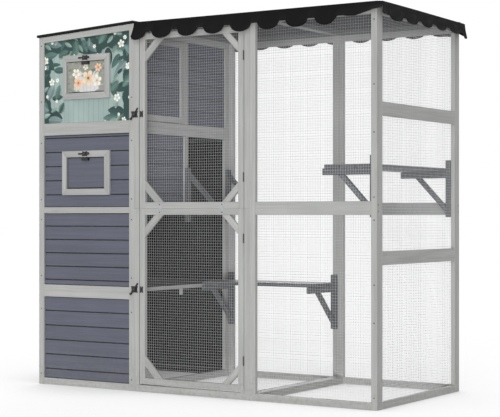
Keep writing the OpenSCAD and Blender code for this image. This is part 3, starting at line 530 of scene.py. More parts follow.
PANEL_LAYERS = [
    (LEAVES, 118, 17, 130, 0.95, leaf((30, 52, 50), (56, 84, 80), 0.52)),
    (LEAVES, 96, 52, 125, 0.85, leaf((44, 72, 68), (86, 114, 108), 0.44)),
    (LEAVES, 84, 74, 120, 0.7, leaf((48, 76, 70), (94, 122, 114), 0.5, 0.42)),
    (LEAVES, 104, 33, 120, 0.6, leaf((88, 110, 112), (124, 144, 142), 0.46)),
    (LEAVES, 66, 8, 110, 0.6, leaf((34, 60, 56), (64, 94, 88), 0.36)),
    (LEAVES, 58, 61, 130, 0.42, leaf((112, 136, 128), (148, 166, 160), 0.42)),
    (BLOOMS, 82, 24, 150, 0.32, bloom((198, 206, 196), (236, 238, 232), (206, 184, 120), Radius=0.26)),
    (BLOOMS, 46, 66, 140, 0.16, bloom((214, 220, 212), (242, 243, 238), (196, 186, 128), 6, Radius=0.27)),
]
CREAM = bloom((206, 172, 138), (238, 214, 186), (118, 108, 70))
PEACH = bloom((212, 160, 128), (240, 200, 168), (150, 110, 74), 6)
IVORY = bloom((200, 198, 184), (240, 234, 220), (196, 160, 96))
FLAP_LAYERS = [
    (LEAVES, 44, 21, 60, 0.8, leaf((104, 122, 104), (146, 160, 140), 0.4)),
    (LEAVES, 36, 57, 60, 0.7, leaf((126, 146, 124), (176, 184, 164), 0.34)),
    (LEAVES, 28, 80, 50, 0.5, leaf((86, 104, 88), (134, 150, 132), 0.32, 0.3)),
]
FLAP_FLOWERS = [(52, 92, 20, 25, IVORY), (182, 52, 50, 30, IVORY), (128, 66, 8, 40, CREAM),
                (66, 44, 35, 30, PEACH), (190, 116, 12, 22, PEACH), (112, 122, 28, 17, IVORY)]

MATERIALS = {
    # The tones of the eased edges below are painted shade in the seams
    "grey_wood": painted_wood("frame_paint", (173, 174, 172), seam_shade=0.93),
    "shelf_wood": painted_wood("shelf_paint", (97, 100, 104), 0.84, 1.08, 0.4, seam_shade=0.62),
    "slate_siding": painted_wood("siding_paint", (93, 96, 108), 0.92, 1.06, 0.06, (0.45, 0.62), 0.3, 0.34),
    "printed_board": printed("panel_print", "print_panel", (156, 174, 170), 0.031, (40, 66, 62),
                             PANEL_LAYERS, []),
    "printed_flap": printed("flap_print", "upper_flap", (212, 211, 210), 0.024, (150, 149, 142),
                            FLAP_LAYERS, FLAP_FLOWERS),
    "mesh_wire": metal("zinc_wire", (203, 204, 206), (0.4, 0.55), 0.05, 0.06),
    "cover_cloth": cloth_material(),
    "roof_felt": felt_material(),
    "black_metal": metal("black_enamel", (22, 22, 23), (0.28, 0.42), 0, 0.1, 0.4, 112),
    "grey_metal": metal("plated_steel", (172, 174, 176), (0.32, 0.48), 0.35, 0.15, 0.5, 205),
}
# The roof's zinc wire painted darker, as the shade under the cover
ROOF_WIRE_PAINTED_SHADE = metal("roof_zinc_wire_painted_shade", (124, 125, 127), (0.5, 0.65), 0.05, 0.1)
SCREW = metal("screw_steel", (84, 84, 86), (0.3, 0.45), 0.4, 0.1)
RIVET = metal("rivet_steel", (70, 70, 71), (0.28, 0.4), 0.5, 0.1)
# Hinge steel painted darker than the plated steel: painted shade in the joints that hold the hinges
HINGE_PAINTED_SHADE = metal("hinge_steel_painted_shade", (58, 58, 60), (0.35, 0.5), 0.3, 0.15, 0.4, 120)
# Near black for the flat cross on each screw head: painted shade of its recess
RECESS_PAINTED_SHADE = metal("screw_recess_painted_shade", (24, 24, 25), (0.5, 0.6), 0.2, 0)


# Pieces made from the nodes' own shapes
def islands(mesh):
    """The separate boards of a mesh, as lists of vertices, in the order of the mesh."""
    found = []
    seen = set()
    for start in mesh.verts:
        if start not in seen:
            seen.add(start)
            members = [start]
            for vertex in members:
                for edge in vertex.link_edges:
                    other = edge.other_vert(vertex)
                    if other not in seen:
                        seen.add(other)
                        members.append(other)
            found.append(members)
    return found


def mark_boards(mesh, seed):
    """Gives each board its grain, which runs along it, and a tone of its own."""
    draw = random.Random(seed)
    grain = mesh.verts.layers.float_vector.new("grain")
    board = mesh.faces.layers.float.new("board")
    for members in islands(mesh):
        points = np.array([v.co for v in members])
        middle = points.mean(axis=0)
        _, axes = np.linalg.eigh(np.cov((points - middle).T))
        shift = np.array([draw.uniform(0, 9) for _ in range(3)])
        tone = draw.random()
        for vertex, point in zip(members, points):
            vertex[grain] = Vector((point - middle) @ axes[:, ::-1] + shift)
            for face in vertex.link_faces:
                face[board] = tone


def settle(name, data, body, slot, *nodes, smooth=25, material=None):
    """Shows a finished mesh on its body, in place of its nodes. It gets its slot's material unless it has one
    or another is given."""
    data.shade_smooth()
    data.set_sharp_from_angle(angle=math.radians(smooth))
    if not data.materials:
        data.materials.append(material or MATERIALS[slot])
    data.name = name
    piece = shown(name, data)
    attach(piece, body)
    if nodes:
        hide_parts(*nodes)
    return piece


def plain_mesh(mesh):
    """A bmesh as mesh data."""
    data = bpy.data.meshes.new("piece")
    mesh.to_mesh(data)
    mesh.free()
    return data


def ease_edges(mesh, ease, sharpness, segments):
    """Rounds the edges that are sharper than an angle, and marks their faces."""
    edge_mark = mesh.faces.layers.float.new("edge")
    least = math.radians(sharpness)
    sharp = [e for e in mesh.edges if len(e.link_faces) == 2 and e.calc_face_angle(0) > least]
    eased = bmesh.ops.bevel(mesh, geom=sharp, offset=ease / 1000, segments=segments, profile=0.5,
                            affect="EDGES", clamp_overlap=True)
    for face in eased["faces"]:
        face[edge_mark] = 1.0


# How far the outer and the inner edges of the door's corner braces move, at the latch and at the hinges
BRACE_SHIFT = ((14, 7), (3, -10))


def narrow_braces(mesh):
    """Brings both long edges of each corner brace closer together, along the legs of its corner."""
    for members in islands(mesh):
        spots = [v.co for v in members]
        for x in (min(p.x for p in spots), max(p.x for p in spots)):
            for z in (min(p.z for p in spots), max(p.z for p in spots)):
                if all(min(abs(p.x - x), abs(p.z - z)) < 1e-4 for p in spots):
                    reach = [abs(p.x - x) + abs(p.z - z) for p in spots]
                    middle = (min(reach) + max(reach)) / 2
                    outer, inner = BRACE_SHIFT[0 if x < 0 else 1]
                    for p, leg in zip(spots, reach):
                        grow = 1 + (outer if leg < middle else inner) / 1000 / leg
                        p.x = x + (p.x - x) * grow
                        p.z = z + (p.z - z) * grow


# How far the left edges of the lower and the upper window's trim lie in
TRIM_TUCK = (5, 10)
UPPER_WINDOW_Z = 1.3


def tuck_trim(mesh):
    """Brings the left outer edge of a window's trim in, the upper window's more."""
    left = min(v.co.x for v in mesh.verts)
    upper = min(v.co.z for v in mesh.verts) > UPPER_WINDOW_Z
    for vertex in mesh.verts:
        if vertex.co.x - left < 0.001:
            vertex.co.x += TRIM_TUCK[upper] / 1000


UPRIGHT_GROWTH = 6
UPPER_BOARD_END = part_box("upper_shelf_boards")[1].x


def thicken_uprights(mesh):
    """Brings the uprights of the upper shelf's brackets farther out of the right wall, and the edge of the
    shelf's last board with them."""
    for members in islands(mesh):
        wall_side = max(v.co.x for v in members)
        room_side = min(v.co.x for v in members)
        is_upright = wall_side - room_side < STILE_W / 1000
        moved = room_side if is_upright else wall_side
        if is_upright or abs(wall_side - UPPER_BOARD_END) < 0.002:
            for vertex in members:
                if abs(vertex.co.x - moved) < 0.001:
                    vertex.co.x -= UPRIGHT_GROWTH / 1000


SEAM_REACH = 0.0015
STRIP_H = 0.01
STRIP_T = 0.0007
STRIP_OFF = 0.0004


def add_seam_strips(mesh, inward):
    """A thin strip behind each seam between two boards, so that no light shows through."""
    boxes = []
    for members in islands(mesh):
        spots = np.array([v.co for v in members])
        boxes.append((spots.min(axis=0), spots.max(axis=0)))
    depth = 0 if inward[0] else 1
    side = 1 - depth
    for low, high in boxes:
        for other_low, other_high in boxes:
            first = max(low[side], other_low[side])
            last = min(high[side], other_high[side])
            if abs(other_low[2] - high[2]) < SEAM_REACH and last > first:
                middle = np.array([0, 0, high[2]])
                size = np.array([0, 0, STRIP_H])
                middle[side] = (first + last) / 2
                size[side] = last - first
                face = high[depth] if inward[depth] > 0 else low[depth]
                middle[depth] = face + STRIP_OFF * inward[depth]
                size[depth] = STRIP_T
                place = Matrix.Translation(middle) @ Matrix.Diagonal((*size, 1))
                bmesh.ops.create_cube(mesh, size=1, matrix=place)


INNER_WALL = 17.5
INNER_HOUSE_W = 574


def mark_painted_inside_shade(mesh):
    """Marks what faces the closed inside of the house, which gets no light, for painted shade near black."""
    inside = mesh.faces.layers.float.new("inside")
    for face in mesh.faces:
        x, y, _ = (face.calc_center_median() - WALL_CORNER) * 1000
        if INNER_WALL < x < INNER_HOUSE_W and INNER_WALL < y < DEPTH - INNER_WALL:
            face[inside] = 1.0


def eased_copies(nodes, ease, material=None, segments=2, shape=None, inward=None):
    """Copies of nodes with their corners merged and their sharp edges eased. shape may change them first."""
    for node in nodes.split():
        mesh = bmesh.new()
        mesh.from_mesh(frame["nodes"][node].data)
        bmesh.ops.remove_doubles(mesh, verts=mesh.verts, dist=1e-5)
        bmesh.ops.dissolve_limit(mesh, angle_limit=math.radians(1), verts=mesh.verts, edges=mesh.edges)
        if shape:
            shape(mesh)
        ease_edges(mesh, ease, 30, segments)
        if inward:
            add_seam_strips(mesh, inward)
        mark_boards(mesh, node)
        mark_painted_inside_shade(mesh)
        settle(node + "_finished", plain_mesh(mesh), BODY_OF[node], SLOT_OF[node], node, material=material)


eased_copies("front_left_frame front_middle_frame front_right_frame right_side_frame back_right_frame "
             "back_middle_frame back_left_frame left_side_frame partition_frame ground_tie roof_frames "
             "door_upper_frame door_lower_frame hatch_frame house_floors", 1.2)
eased_copies("door_braces", 1.2, shape=narrow_braces)
eased_copies("lower_window_trim upper_window_trim", 1.0, shape=tuck_trim)
eased_copies("upper_shelf_boards upper_shelf_brackets", 2.2, shape=thicken_uprights)
eased_copies("lower_shelf_boards landing_boards lower_shelf_brackets landing_brackets", 2.2)
eased_copies("front_siding window_siding", 3.0, inward=(0, 1))
eased_copies("left_side_siding", 3.0, inward=(1, 0))
eased_copies("back_siding", 3.0, inward=(0, -1))
eased_copies("partition_siding hatch_siding", 3.0, inward=(-1, 0))
eased_copies("lower_flap", 1.4)
eased_copies("print_panel upper_flap", 0.7)
eased_copies("house_roof", 5.0, segments=3)
eased_copies("flap_hinge_leaves upper_flap_hardware lower_flap_hardware door_upper_latch_lever "
             "door_lower_latch_lever upper_flap_latch_lever lower_flap_latch_lever door_join_plates", 0.35)
# Hinges get the darker steel: painted shade in their joints
eased_copies("door_hinge_leaves door_hinge_straps hatch_hinge_leaves hatch_hinge_straps hinge_pins", 0.35,
             HINGE_PAINTED_SHADE)


# Mesh, and what repeats
def grown(tree, start, **values):
    """The plain mesh that a geometry tree makes of a start mesh with these input values."""
    carrier = shown("carrier", start)
    modifier = carrier.modifiers.new("tree", "NODES")
    modifier.node_group = tree
    sockets = {s.name: s.identifier for s in tree.interface.items_tree
               if s.item_type == "SOCKET" and s.in_out == "INPUT"}
    for label, value in values.items():
        modifier[sockets[label]] = value
    return freed(carrier)


def freed(carrier):
    """The mesh of a carrier with its modifiers in it. The carrier goes."""
    data = bpy.data.meshes.new_from_object(carrier.evaluated_get(bpy.context.evaluated_depsgraph_get()))
    bpy.data.objects.remove(carrier)
    return data


def coated(geometry, material):
    return made("GeometryNodeSetMaterial", {"Geometry": geometry, "Material": material})


def joined(pieces):
    node = tree_of(pieces).nodes.new("GeometryNodeJoinGeometry")
    for piece in pieces:
        link(piece, node.inputs[0])
    return Value(node.outputs[0])


def build_net_tree():
    """Welded mesh: upright wires and level wires on a pitch, centred between its edges."""
    tree, source, target = group("welded_mesh", {
        "Geometry": "Geometry", "Float": "Width Height Pitch Wire Depth", "Material": "Material"},
        {"Geometry": "Geometry"}, "GeometryNodeTree")
    pitch = source["Pitch"]
    radius = source["Wire"] * 0.5
    ring = made("GeometryNodeCurvePrimitiveCircle", {"Resolution": 6, "Radius": radius})
    layers = []
    for span, length, across, along, level in (
            (source["Width"], source["Height"], "X", "Z", radius),
            (source["Height"], source["Width"], "Z", "X", source["Depth"] - radius)):
        steps = reckon("FLOOR", span / pitch)
        start = (span - steps * pitch) * 0.5
        places = made("GeometryNodeMeshLine", {
            "Count": steps + 1.0, "Start Location": xyz(**{across: start, "Y": level}),
            "Offset": xyz(**{across: pitch})})
        line = made("GeometryNodeCurvePrimitiveLine", {"End": xyz(**{along: length})})
        wire = made("GeometryNodeCurveToMesh", {"Curve": line, "Profile Curve": ring, "Fill Caps": True})
        layers.append(made("GeometryNodeInstanceOnPoints", {"Points": places, "Instance": wire}))
    real = made("GeometryNodeRealizeInstances", {0: joined(layers)})
    link(coated(real, source["Material"]), target[0])
    return tree


NET_TREE = build_net_tree()
PITCH = 0.0127
WIRE = 0.0009
NET_T = 2


def nets(widths, heights, place):
    """Nets in a place's own upright plane, each with its width, its height and where it is."""
    return [(x1 - x0, z1 - z0, place @ Matrix.Translation(Vector((x0, 0, z0)) / 1000))
            for x0, x1 in widths for z0, z1 in heights]


NET_INSET = 22
RUN_NET = (RUN_X + NET_INSET, TOTAL_W - NET_INSET)
BAY_NET = (HOUSE_W + NET_INSET, RUN_X - NET_INSET)
WALL_NETS = ((24, 847), (891, 1713))
FRONT_PLANE = turned_at(0, FRAME_T, 0)
BACK_PLANE = turned_at(0, DEPTH - FRAME_T - NET_T, 0)
RIGHT_PLANE = turned_at(TOTAL_W - FRAME_T, 0, 0, 90)
ROOF_PLANE = turned_at(0, 0, WALL_H, -90, "X")
NETS = {
    "front_right_mesh": nets([RUN_NET], WALL_NETS, FRONT_PLANE),
    "right_side_mesh": nets([(42, 792)], ((24, 630), (674, 1278), (1322, 1713)), RIGHT_PLANE),
    "back_right_mesh": nets([RUN_NET], WALL_NETS, BACK_PLANE),
    "back_middle_mesh": nets([BAY_NET], WALL_NETS, BACK_PLANE),
    "roof_mesh": nets((BAY_NET, RUN_NET), [(NET_INSET, DEPTH - NET_INSET)], ROOF_PLANE),
    "door_mesh": nets([(649.5, 1194)], ((58, 848), (892, 1679)), FRONT_PLANE),
}
for node, panels in NETS.items():
    # The roof net gets the darker wire: painted shade under the cover
    wire = ROOF_WIRE_PAINTED_SHADE if node == "roof_mesh" else MATERIALS["mesh_wire"]
    mesh = bmesh.new()
    for width, height, place in panels:
        data = grown(NET_TREE, bpy.data.meshes.new("start"), Width=width / 1000, Height=height / 1000,
                     Pitch=PITCH, Wire=WIRE, Depth=NET_T / 1000, Material=wire)
        data.transform(place)
        mesh.from_mesh(data)
    settle(node + "_fine", plain_mesh(mesh), BODY_OF[node], "mesh_wire", node, smooth=70, material=wire)


# Cover. A value for each side is for the front, the right and the back. Each side has a drop, a depth of its
# scallops, a first lobe and a lift toward its corner
SCALLOP_W = 148
LOBE_W = 112
FLARE = 27
RIGHT_FLARE = 6
FOLD_DEPTH = 5
CLOTH_GAP = 0.3
VALANCE_T = 1.6
TOP_T = 1.4
TOP_Z = 1755.6
LIFT_FADE = 60
LEAST_LOBE = 0.15
LIFT_LOW = (0.5, 0.75, 0.7)
LIFT_END = (95, 45, 45)
TAPER = (0, 22, 0)
DROOP_L = 95
CORNER_DROOP = 26
ROUND_L = 24
ROUND_H = 12
CORNER_SPREAD = 0.9
CORNER_TUCK = 0.85
DROP = (88, 77, 60)
SCALLOP_DEPTH = (34, 20, 22)
FIRST_LOBE = (30, -29, 18)
CORNER_LIFT = (150, -25)
OVERHANG = 28
PULL_L = 130
SLACK = 7
HEM_SHARE = 0.07
TURN_ROWS = 3
TURN_R = 5
HEM_ROWS = 16
CLOTH_STEP = 5


def share_of(value):
    return min(1, max(0, value))


FRONT_DROOP = 3
BACK_DROOP = 12


def pulled(point):
    """Cloth hangs over the right wall: its edge lies farther out there, and lower toward the back."""
    x, y, _ = (point - WALL_CORNER) * 1000
    out = OVERHANG * share_of((x - TOTAL_W + PULL_L) / PULL_L) ** 2
    past_wall = share_of((min(x, TOTAL_W) + out - TOTAL_W) / OVERHANG)
    droop = FRONT_DROOP + (BACK_DROOP - FRONT_DROOP) * share_of(y / DEPTH) ** 1.5
    return point + Vector((out, 0, -droop * past_wall)) / 1000


def lobe(s):
    """1 at the middle of a lobe and 0 between two lobes."""
    off = abs(s - SCALLOP_W * round(s / SCALLOP_W)) / (LOBE_W / 2)
    return math.sqrt(max(0, 1 - off ** 2))


def drop_at(x, length, side):
    """How far a valance hangs down at x along its edge."""
    from_lift = (length - x, x, length)[side]
    from_end = (x, length - x, length - x)[side]
    from_droop = length if side == 0 else from_end
    share = 1
    if side < 2:
        share = min(1, max(LEAST_LOBE, (from_lift - CORNER_LIFT[side]) / LIFT_FADE))
    drop = DROP[side] - TAPER[side] * x / length
    drop -= SCALLOP_DEPTH[side] * (1 - lobe(x - FIRST_LOBE[side]) * share)
    low = LIFT_LOW[side]
    drop *= min(1, low + (1 - low) * from_lift / LIFT_END[side])
    rounding = ROUND_H * max(0, 1 - from_end / ROUND_L) ** 2
    return drop + CORNER_DROOP * max(0, 1 - from_droop / DROOP_L) - rounding


def hem_point(x, v, length, side):
    """A point of a valance at x along its edge, v from the edge to the hem."""
    wave = (1 + math.cos(2 * math.pi * (x - FIRST_LOBE[side]) / SCALLOP_W)) / 2
    toward_end = max(0, 1 - (length - x) / SCALLOP_W)
    flare = (FLARE, RIGHT_FLARE, FLARE * (1 - CORNER_TUCK * toward_end))[side]
    out = CLOTH_GAP + flare * v ** 1.5 + FOLD_DEPTH * v * wave
    crease = 1.4 * v * noise(Vector((x / 60, v * 1.5, length / 100)))
    crease += 0.7 * v * noise(Vector((x / 19, v * 2.5, length / 50)))
    if side == 1:
        meet = CORNER_SPREAD * (CLOTH_GAP + FLARE * v ** 1.5)
        across = x + meet * ((1 - CORNER_TUCK) * toward_end - max(0, 1 - x / SCALLOP_W))
    else:
        across = x + toward_end * (RIGHT_FLARE * v ** 1.5 + FOLD_DEPTH * v)
    return Vector((across, -out - crease, COVER_Z - v * drop_at(x, length, side)))


def woven(columns, thickness, offset):
    """A sheet of cloth through columns of points, with its thickness, and the area of its middle.
    Each point has its place in the weave and whether it is in the hem."""
    mesh = bmesh.new()
    weave = mesh.verts.layers.float_vector.new("weave")
    hem = mesh.verts.layers.float.new("hem")
    grid = []
    for column in columns:
        grid.append([])
        for point, place, in_hem in column:
            vertex = mesh.verts.new(pulled(point))
            vertex[weave] = Vector((*place, 0)) / 1000
            vertex[hem] = float(in_hem)
            grid[-1].append(vertex)
    for a, b in zip(grid, grid[1:]):
        for j in range(len(a) - 1):
            mesh.faces.new((a[j], a[j + 1], b[j + 1], b[j]))
    area = sum(face.calc_area() for face in mesh.faces)
    carrier = shown("carrier", plain_mesh(mesh))
    solid = carrier.modifiers.new("thickness", "SOLIDIFY")
    solid.thickness = thickness / 1000
    solid.offset = offset
    solid.use_even_offset = True
    return freed(carrier), area


def valance_columns(side, length, place):
    """The points of a scalloped valance with a turned and stitched hem."""
    count = round(length / CLOTH_STEP)
    for i in range(count + 1):
        x = i * length / count
        column = []
        for j in range(-TURN_ROWS, HEM_ROWS + 1):
            in_hem = j >= HEM_ROWS - 1
            v = max(0, 1 - (HEM_ROWS - j) * HEM_SHARE if in_hem else j / HEM_ROWS)
            point = hem_point(x, v, length, side)
            turn = math.pi / 2 * max(0, -j) / TURN_ROWS
            point += Vector((0, TURN_R * (1 - math.cos(turn)), 0.5 * math.sin(turn)))
            column.append((place @ (point / 1000), (x, v * 90), in_hem))
        yield column


COVER_L = TOTAL_W - COVER_X
BACKWARD = Matrix.Scale(-1, 4, Vector((0, 1, 0)))
# Each valance has its length, its edge's place, its flat drop and the side that its thickness goes to
VALANCES = [
    ("front_valance", COVER_L, turned_at(COVER_X, 0, 0), 98, 1),
    ("right_valance", DEPTH, turned_at(TOTAL_W, 0, 0, 90), 85, 1),
    ("back_valance", COVER_L, turned_at(COVER_X, DEPTH, 0) @ BACKWARD, 70, -1),
]
for side, (node, length, place, flat_drop, outward) in enumerate(VALANCES):
    data, area = woven(valance_columns(side, length, place), VALANCE_T, outward)
    piece = settle(node + "_cloth", data, "enclosure", "cover_cloth", node, smooth=60)
    flat = (length / 1000, flat_drop / 1000)
    min(area, flat[0] * flat[1])
    if node == "front_valance":
        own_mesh(piece)

TOP_COLUMNS = 130
TOP_ROWS = 84
# Where each of the two roof panels starts under the cover, and its clear width
BAYS = ((HOUSE_W + STILE_W, 596), (RUN_X + STILE_W, 590))


def top_columns():
    """The points of the cover's top: taut over the roof panels, a little slack between their members."""
    for i in range(TOP_COLUMNS + 1):
        x = COVER_X + i * COVER_L / TOP_COLUMNS
        start, width = BAYS[0 if x < RUN_X else 1]
        sag = SLACK * max(0, math.sin(math.pi * share_of((x - start) / width)))
        column = []
        for j in range(TOP_ROWS, -1, -1):
            y = j * DEPTH / TOP_ROWS
            slack = sag * max(0, math.sin(math.pi * y / DEPTH)) ** 0.6
            z = TOP_Z - slack + 0.5 * noise(Vector((x / 90, y / 140, 3)))
            column.append((at(x, y, z), (x, y), False))
        yield column


top_data, _ = woven(top_columns(), TOP_T, 1)
top = settle("cover_top_cloth", top_data, "enclosure", "cover_cloth", "roof_cover", smooth=60)


# Screws
def build_screw_tree():
    """A domed screw head on each point, facing out along its facing vector, with a thin dark cross on top:
    the painted shade of a cross recess.
    """
    tree, source, target = group("screw_heads", {
        "Geometry": "Geometry", "Float": "Radius Rise", "Material": "Steel Recess"},
        {"Geometry": "Geometry"}, "GeometryNodeTree")
    radius = source["Radius"]
    rise = source["Rise"]
    head = made("GeometryNodeMeshCone", {
        "Vertices": 14, "Radius Top": radius * 0.62, "Radius Bottom": radius, "Depth": rise}, "Mesh")
    long = radius * 1.05
    thin = radius * 0.24
    bars = []
    for x, y in ((long, thin), (thin, long)):
        bar = made("GeometryNodeMeshCube", {"Size": xyz(X=x, Y=y, Z=0.0002)})
        bars.append(made("GeometryNodeTransform", {"Geometry": bar, "Translation": xyz(Z=rise)}))
    # The cross is a thin dark plate on the head: painted shade of a recess
    whole = joined([coated(head, source["Steel"]), coated(joined(bars), source["Recess"])])
    facing = made("GeometryNodeInputNamedAttribute", {"Name": "facing"}, tree=tree, data_type="FLOAT_VECTOR")
    aimed = made("FunctionNodeAlignRotationToVector", {"Vector": facing}, axis="Z")
    twist = made("FunctionNodeRandomValue", {"Min": 0.0, "Max": 3.0, "Seed": 4}, 1, tree, data_type="FLOAT")
    spin = made("FunctionNodeRotateRotation", {"Rotation": aimed, "Rotate By": xyz(Z=twist)},
                rotation_space="LOCAL")
    copies = made("GeometryNodeInstanceOnPoints", {
        "Points": source["Geometry"], "Instance": whole, "Rotation": spin})
    link(made("GeometryNodeRealizeInstances", {0: copies}), target[0])
    return tree


SCREW_TREE = build_screw_tree()
FORWARD = (0, -1, 0)
RIGHTWARD = (1, 0, 0)


def screws(name, body, spots, radius, rise, *nodes):
    """Screw heads on a body, at spots in millimetres. Those on the right wall face right, others forward."""
    start = bpy.data.meshes.new("spots")
    start.from_pydata([at(*spot) for spot in spots], [], [])
    out = start.attributes.new("facing", "FLOAT_VECTOR", "POINT")
    for facing, (x, _, _) in zip(out.data, spots):
        facing.vector = RIGHTWARD if x == TOTAL_W else FORWARD
    data = grown(SCREW_TREE, start, Radius=radius / 1000, Rise=rise / 1000, Steel=SCREW, Recess=RECESS_PAINTED_SHADE)
    settle(name, data, body, "black_metal", *nodes, smooth=40)


frame_spots = [(x, 0, z) for x in (15, 578, 1884) for z in (52, 374, 538, 817, 916, 1196, 1402, 1680)]
frame_spots += [(TOTAL_W, y, z) for y in (10, 824) for z in (855, 883)]
screws("frame_screw_heads", "enclosure", frame_spots, 3.5, 1.0, "frame_screws")
screws("plate_screw_heads", "door", [(x, -2, z) for x in (744.5, 1099) for z in (852, 888)], 3.4, 1.0)


# Latches. A latch's own plane has its seam at +X, and Z points out of the face that carries it
LATCH_T = 2
BOSS_Z = 3.5
HEAD_Z = 7.1
HEAD_TOP_Z = 8.5
DOOR_LATCH_X = 596
KEEPER_X = 637.5
DOOR_LATCH_Z = {"door_upper_latch_lever": 1319, "door_lower_latch_lever": 485}
DOOR_BASE = (40, 30)
KEEPER = (20, 30)
WINDOW_LATCH_X = 295.5
TRIM_Y = -4
WINDOW_LATCH_Z = {"upper_flap_latch_lever": 1607, "lower_flap_latch_lever": 1138}
WINDOW_BASE = (25, 32)
KNOB_L = 27
KNOB_R = 6.2
KNOB_Z = 9.2


def face_place(x, y, z, turn=0):
    """The plane of a front face at a point, turned about its normal. Its units are millimetres."""
    aimed = turned_at(x, y, z, 90, "X") @ Matrix.Rotation(math.radians(turn), 4, "Z")
    return aimed @ Matrix.Scale(0.001, 4)


def winged_plate(mesh, size, place, waist):
    """A plate with a notch in each of its four sides. waist is its height at the notches, as a share."""
    w, h = (length / 2 for length in size)
    outline = [(-w, -h), (-0.3 * w, -h), (0, -waist * h), (0.3 * w, -h), (w, -h), (0.8 * w, 0),
               (w, h), (0.3 * w, h), (0, waist * h), (-0.3 * w, h), (-w, h), (-0.8 * w, 0)]
    back, front = ([mesh.verts.new(place @ Vector((x, y, z))) for x, y in outline] for z in (0, LATCH_T))
    mesh.faces.new(back[::-1])
    mesh.faces.new(front)
    for i in range(len(outline)):
        k = (i + 1) % len(outline)
        mesh.faces.new((back[i], back[k], front[k], front[i]))


def disc(mesh, low, high, radius, top_radius, place):
    middle = Matrix.Translation((0, 0, (low + high) / 2))
    bmesh.ops.create_cone(mesh, cap_ends=True, segments=24, radius1=radius, radius2=top_radius,
                          depth=high - low, matrix=place @ middle)


def latch_piece(name, body, mesh, ease, *nodes, material=None):
    """A finished piece from plates, discs or a ball, with its sharp edges eased."""
    ease_edges(mesh, ease, 50, 2)
    settle(name, plain_mesh(mesh), body, "black_metal", *nodes, smooth=40, material=material)


# Each latch has its lever, its place, the turns of its base and of its lever at rest, and its base's size
LATCHES = [(lever, DOOR_LATCH_X, 0, z, 0, 52, DOOR_BASE) for lever, z in DOOR_LATCH_Z.items()]
LATCHES += [(lever, WINDOW_LATCH_X, TRIM_Y, z, -90, -180, WINDOW_BASE)
            for lever, z in WINDOW_LATCH_Z.items()]
bases = bmesh.new()
rivets = bmesh.new()
for _, x, y, z, turn, _, size in LATCHES:
    place = face_place(x, y, z, turn)
    winged_plate(bases, size, place, 0.97)
    disc(bases, LATCH_T, BOSS_Z, 5.5, 5.5, place)
    disc(rivets, BOSS_Z, HEAD_Z, 2.5, 2.5, place)
    disc(rivets, HEAD_Z, HEAD_TOP_Z, 4.5, 2.8, place)
latch_piece("latch_plates", "enclosure", bases, 0.4, "latch_bases")
latch_piece("latch_rivets", "enclosure", rivets, 0.2, material=RIVET)
keepers = bmesh.new()
for z in DOOR_LATCH_Z.values():
    winged_plate(keepers, KEEPER, face_place(KEEPER_X, 0, z), 0.5)
latch_piece("latch_keepers", "door", keepers, 0.4, "door_latch_keepers")

# A ball on the stem of each lever
for lever, x, y, z, _, turn, _ in LATCHES:
    knob = bmesh.new()
    place = face_place(x, y, z, turn) @ Matrix.Translation((-KNOB_L, 0, KNOB_Z))
    bmesh.ops.create_uvsphere(knob, u_segments=24, v_segments=16, radius=KNOB_R, matrix=place)
    latch_piece(lever + "_knob", BODY_OF[lever], knob, 0.1)

base_screws = [(DOOR_LATCH_X + i, -LATCH_T, z + k)
               for z in DOOR_LATCH_Z.values() for i in (-15, 15) for k in (-10, 10)]
base_screws += [(WINDOW_LATCH_X + i, TRIM_Y - LATCH_T, z)
                for z in WINDOW_LATCH_Z.values() for i in (-11, 11)]
screws("latch_base_screws", "enclosure", base_screws, 2.0, 0.7)
keeper_screws = [(KEEPER_X + i, -LATCH_T, z + k) for z in DOOR_LATCH_Z.values() for i in (-6, 6)
                 for k in (-10, 10)]
screws("latch_keeper_screws", "door", keeper_screws, 1.9, 0.7)

# Floor, light and background
FLOOR_REACH = 40
FLOOR_Z = -0.0005


def grey(level):
    return (level, level, level, 1)


def seen_directly(tree):
    """1 for what the camera sees, also in a mirror or through glass."""
    rays = all_made("ShaderNodeLightPath", tree=tree)
    seen = reckon("MAXIMUM", rays["Is Camera Ray"], rays["Is Glossy Ray"])
    return reckon("MAXIMUM", seen, rays["Is Transmission Ray"])


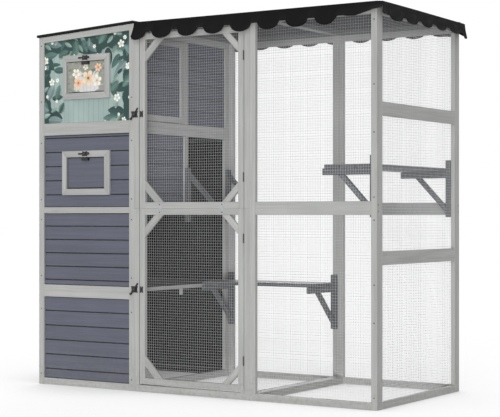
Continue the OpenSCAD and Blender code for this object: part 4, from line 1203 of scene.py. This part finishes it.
def build_floor():
    """A plain pale floor, which meets white where it is seen and throws the light of a darker one. Where seen
    it also glows, less near the object: a painted shadow.
    """
    data = bpy.data.meshes.new("floor")
    data.from_pydata([(x * FLOOR_REACH, y * FLOOR_REACH, FLOOR_Z)
                      for x, y in ((-1, -1), (1, -1), (1, 1), (-1, 1))], [], [(0, 1, 2, 3)])
    material, tree, shader, _ = new_material("floor_paper")
    seen = seen_directly(tree)
    link(blend(seen, grey(0.35), grey(0.5)), shader["Base Color"])
    link(0.9, shader["Roughness"])
    link(0, shader["Specular IOR Level"])
    openness_for_painted_shadow = made("ShaderNodeAmbientOcclusion", {"Distance": 0.7}, "AO", tree, samples=8)
    # The glow drops where the object hems the floor in: a painted shadow
    link(seen * ramp(openness_for_painted_shadow, 0, 0.85, 0.12, 1, smooth=False) * 0.66, shader["Emission Color"])
    link(1, shader["Emission Strength"])
    data.materials.append(material)
    floor = shown("floor", data)
    floor.visible_shadow = False


# Each lamp has its turn in degrees, its strength and the angle that it fills. The low lamp stands for the
# light that a white studio floor throws up, so the floor lets it through
LAMPS = {"key": ((66, 0, 28), 0.75, 30), "low": ((98, 0, 28), 1.9, 16), "top": ((14, 0, 10), 0.5, 60),
         "back": ((82, 0, 212), 1.6, 40)}
AMBIENT = 0.36


def build_light():
    world = bpy.data.worlds.new("studio")
    bpy.context.scene.world = world
    world.use_nodes = True
    tree = world.node_tree
    tree.nodes.clear()
    soft = made("ShaderNodeBackground", {"Color": grey(1), "Strength": AMBIENT}, tree=tree)
    white = made("ShaderNodeBackground", {"Color": grey(1), "Strength": 1.0}, tree=tree)
    mixed = made("ShaderNodeMixShader", {0: seen_directly(tree), 1: soft, 2: white})
    link(mixed, tree.nodes.new("ShaderNodeOutputWorld").inputs["Surface"])
    for name, (turn, strength, angle) in LAMPS.items():
        lamp = bpy.data.lights.new(name, "SUN")
        lamp.energy = strength
        lamp.angle = math.radians(angle)
        shown(name, lamp).rotation_euler = [math.radians(a) for a in turn]


build_floor()
build_light()
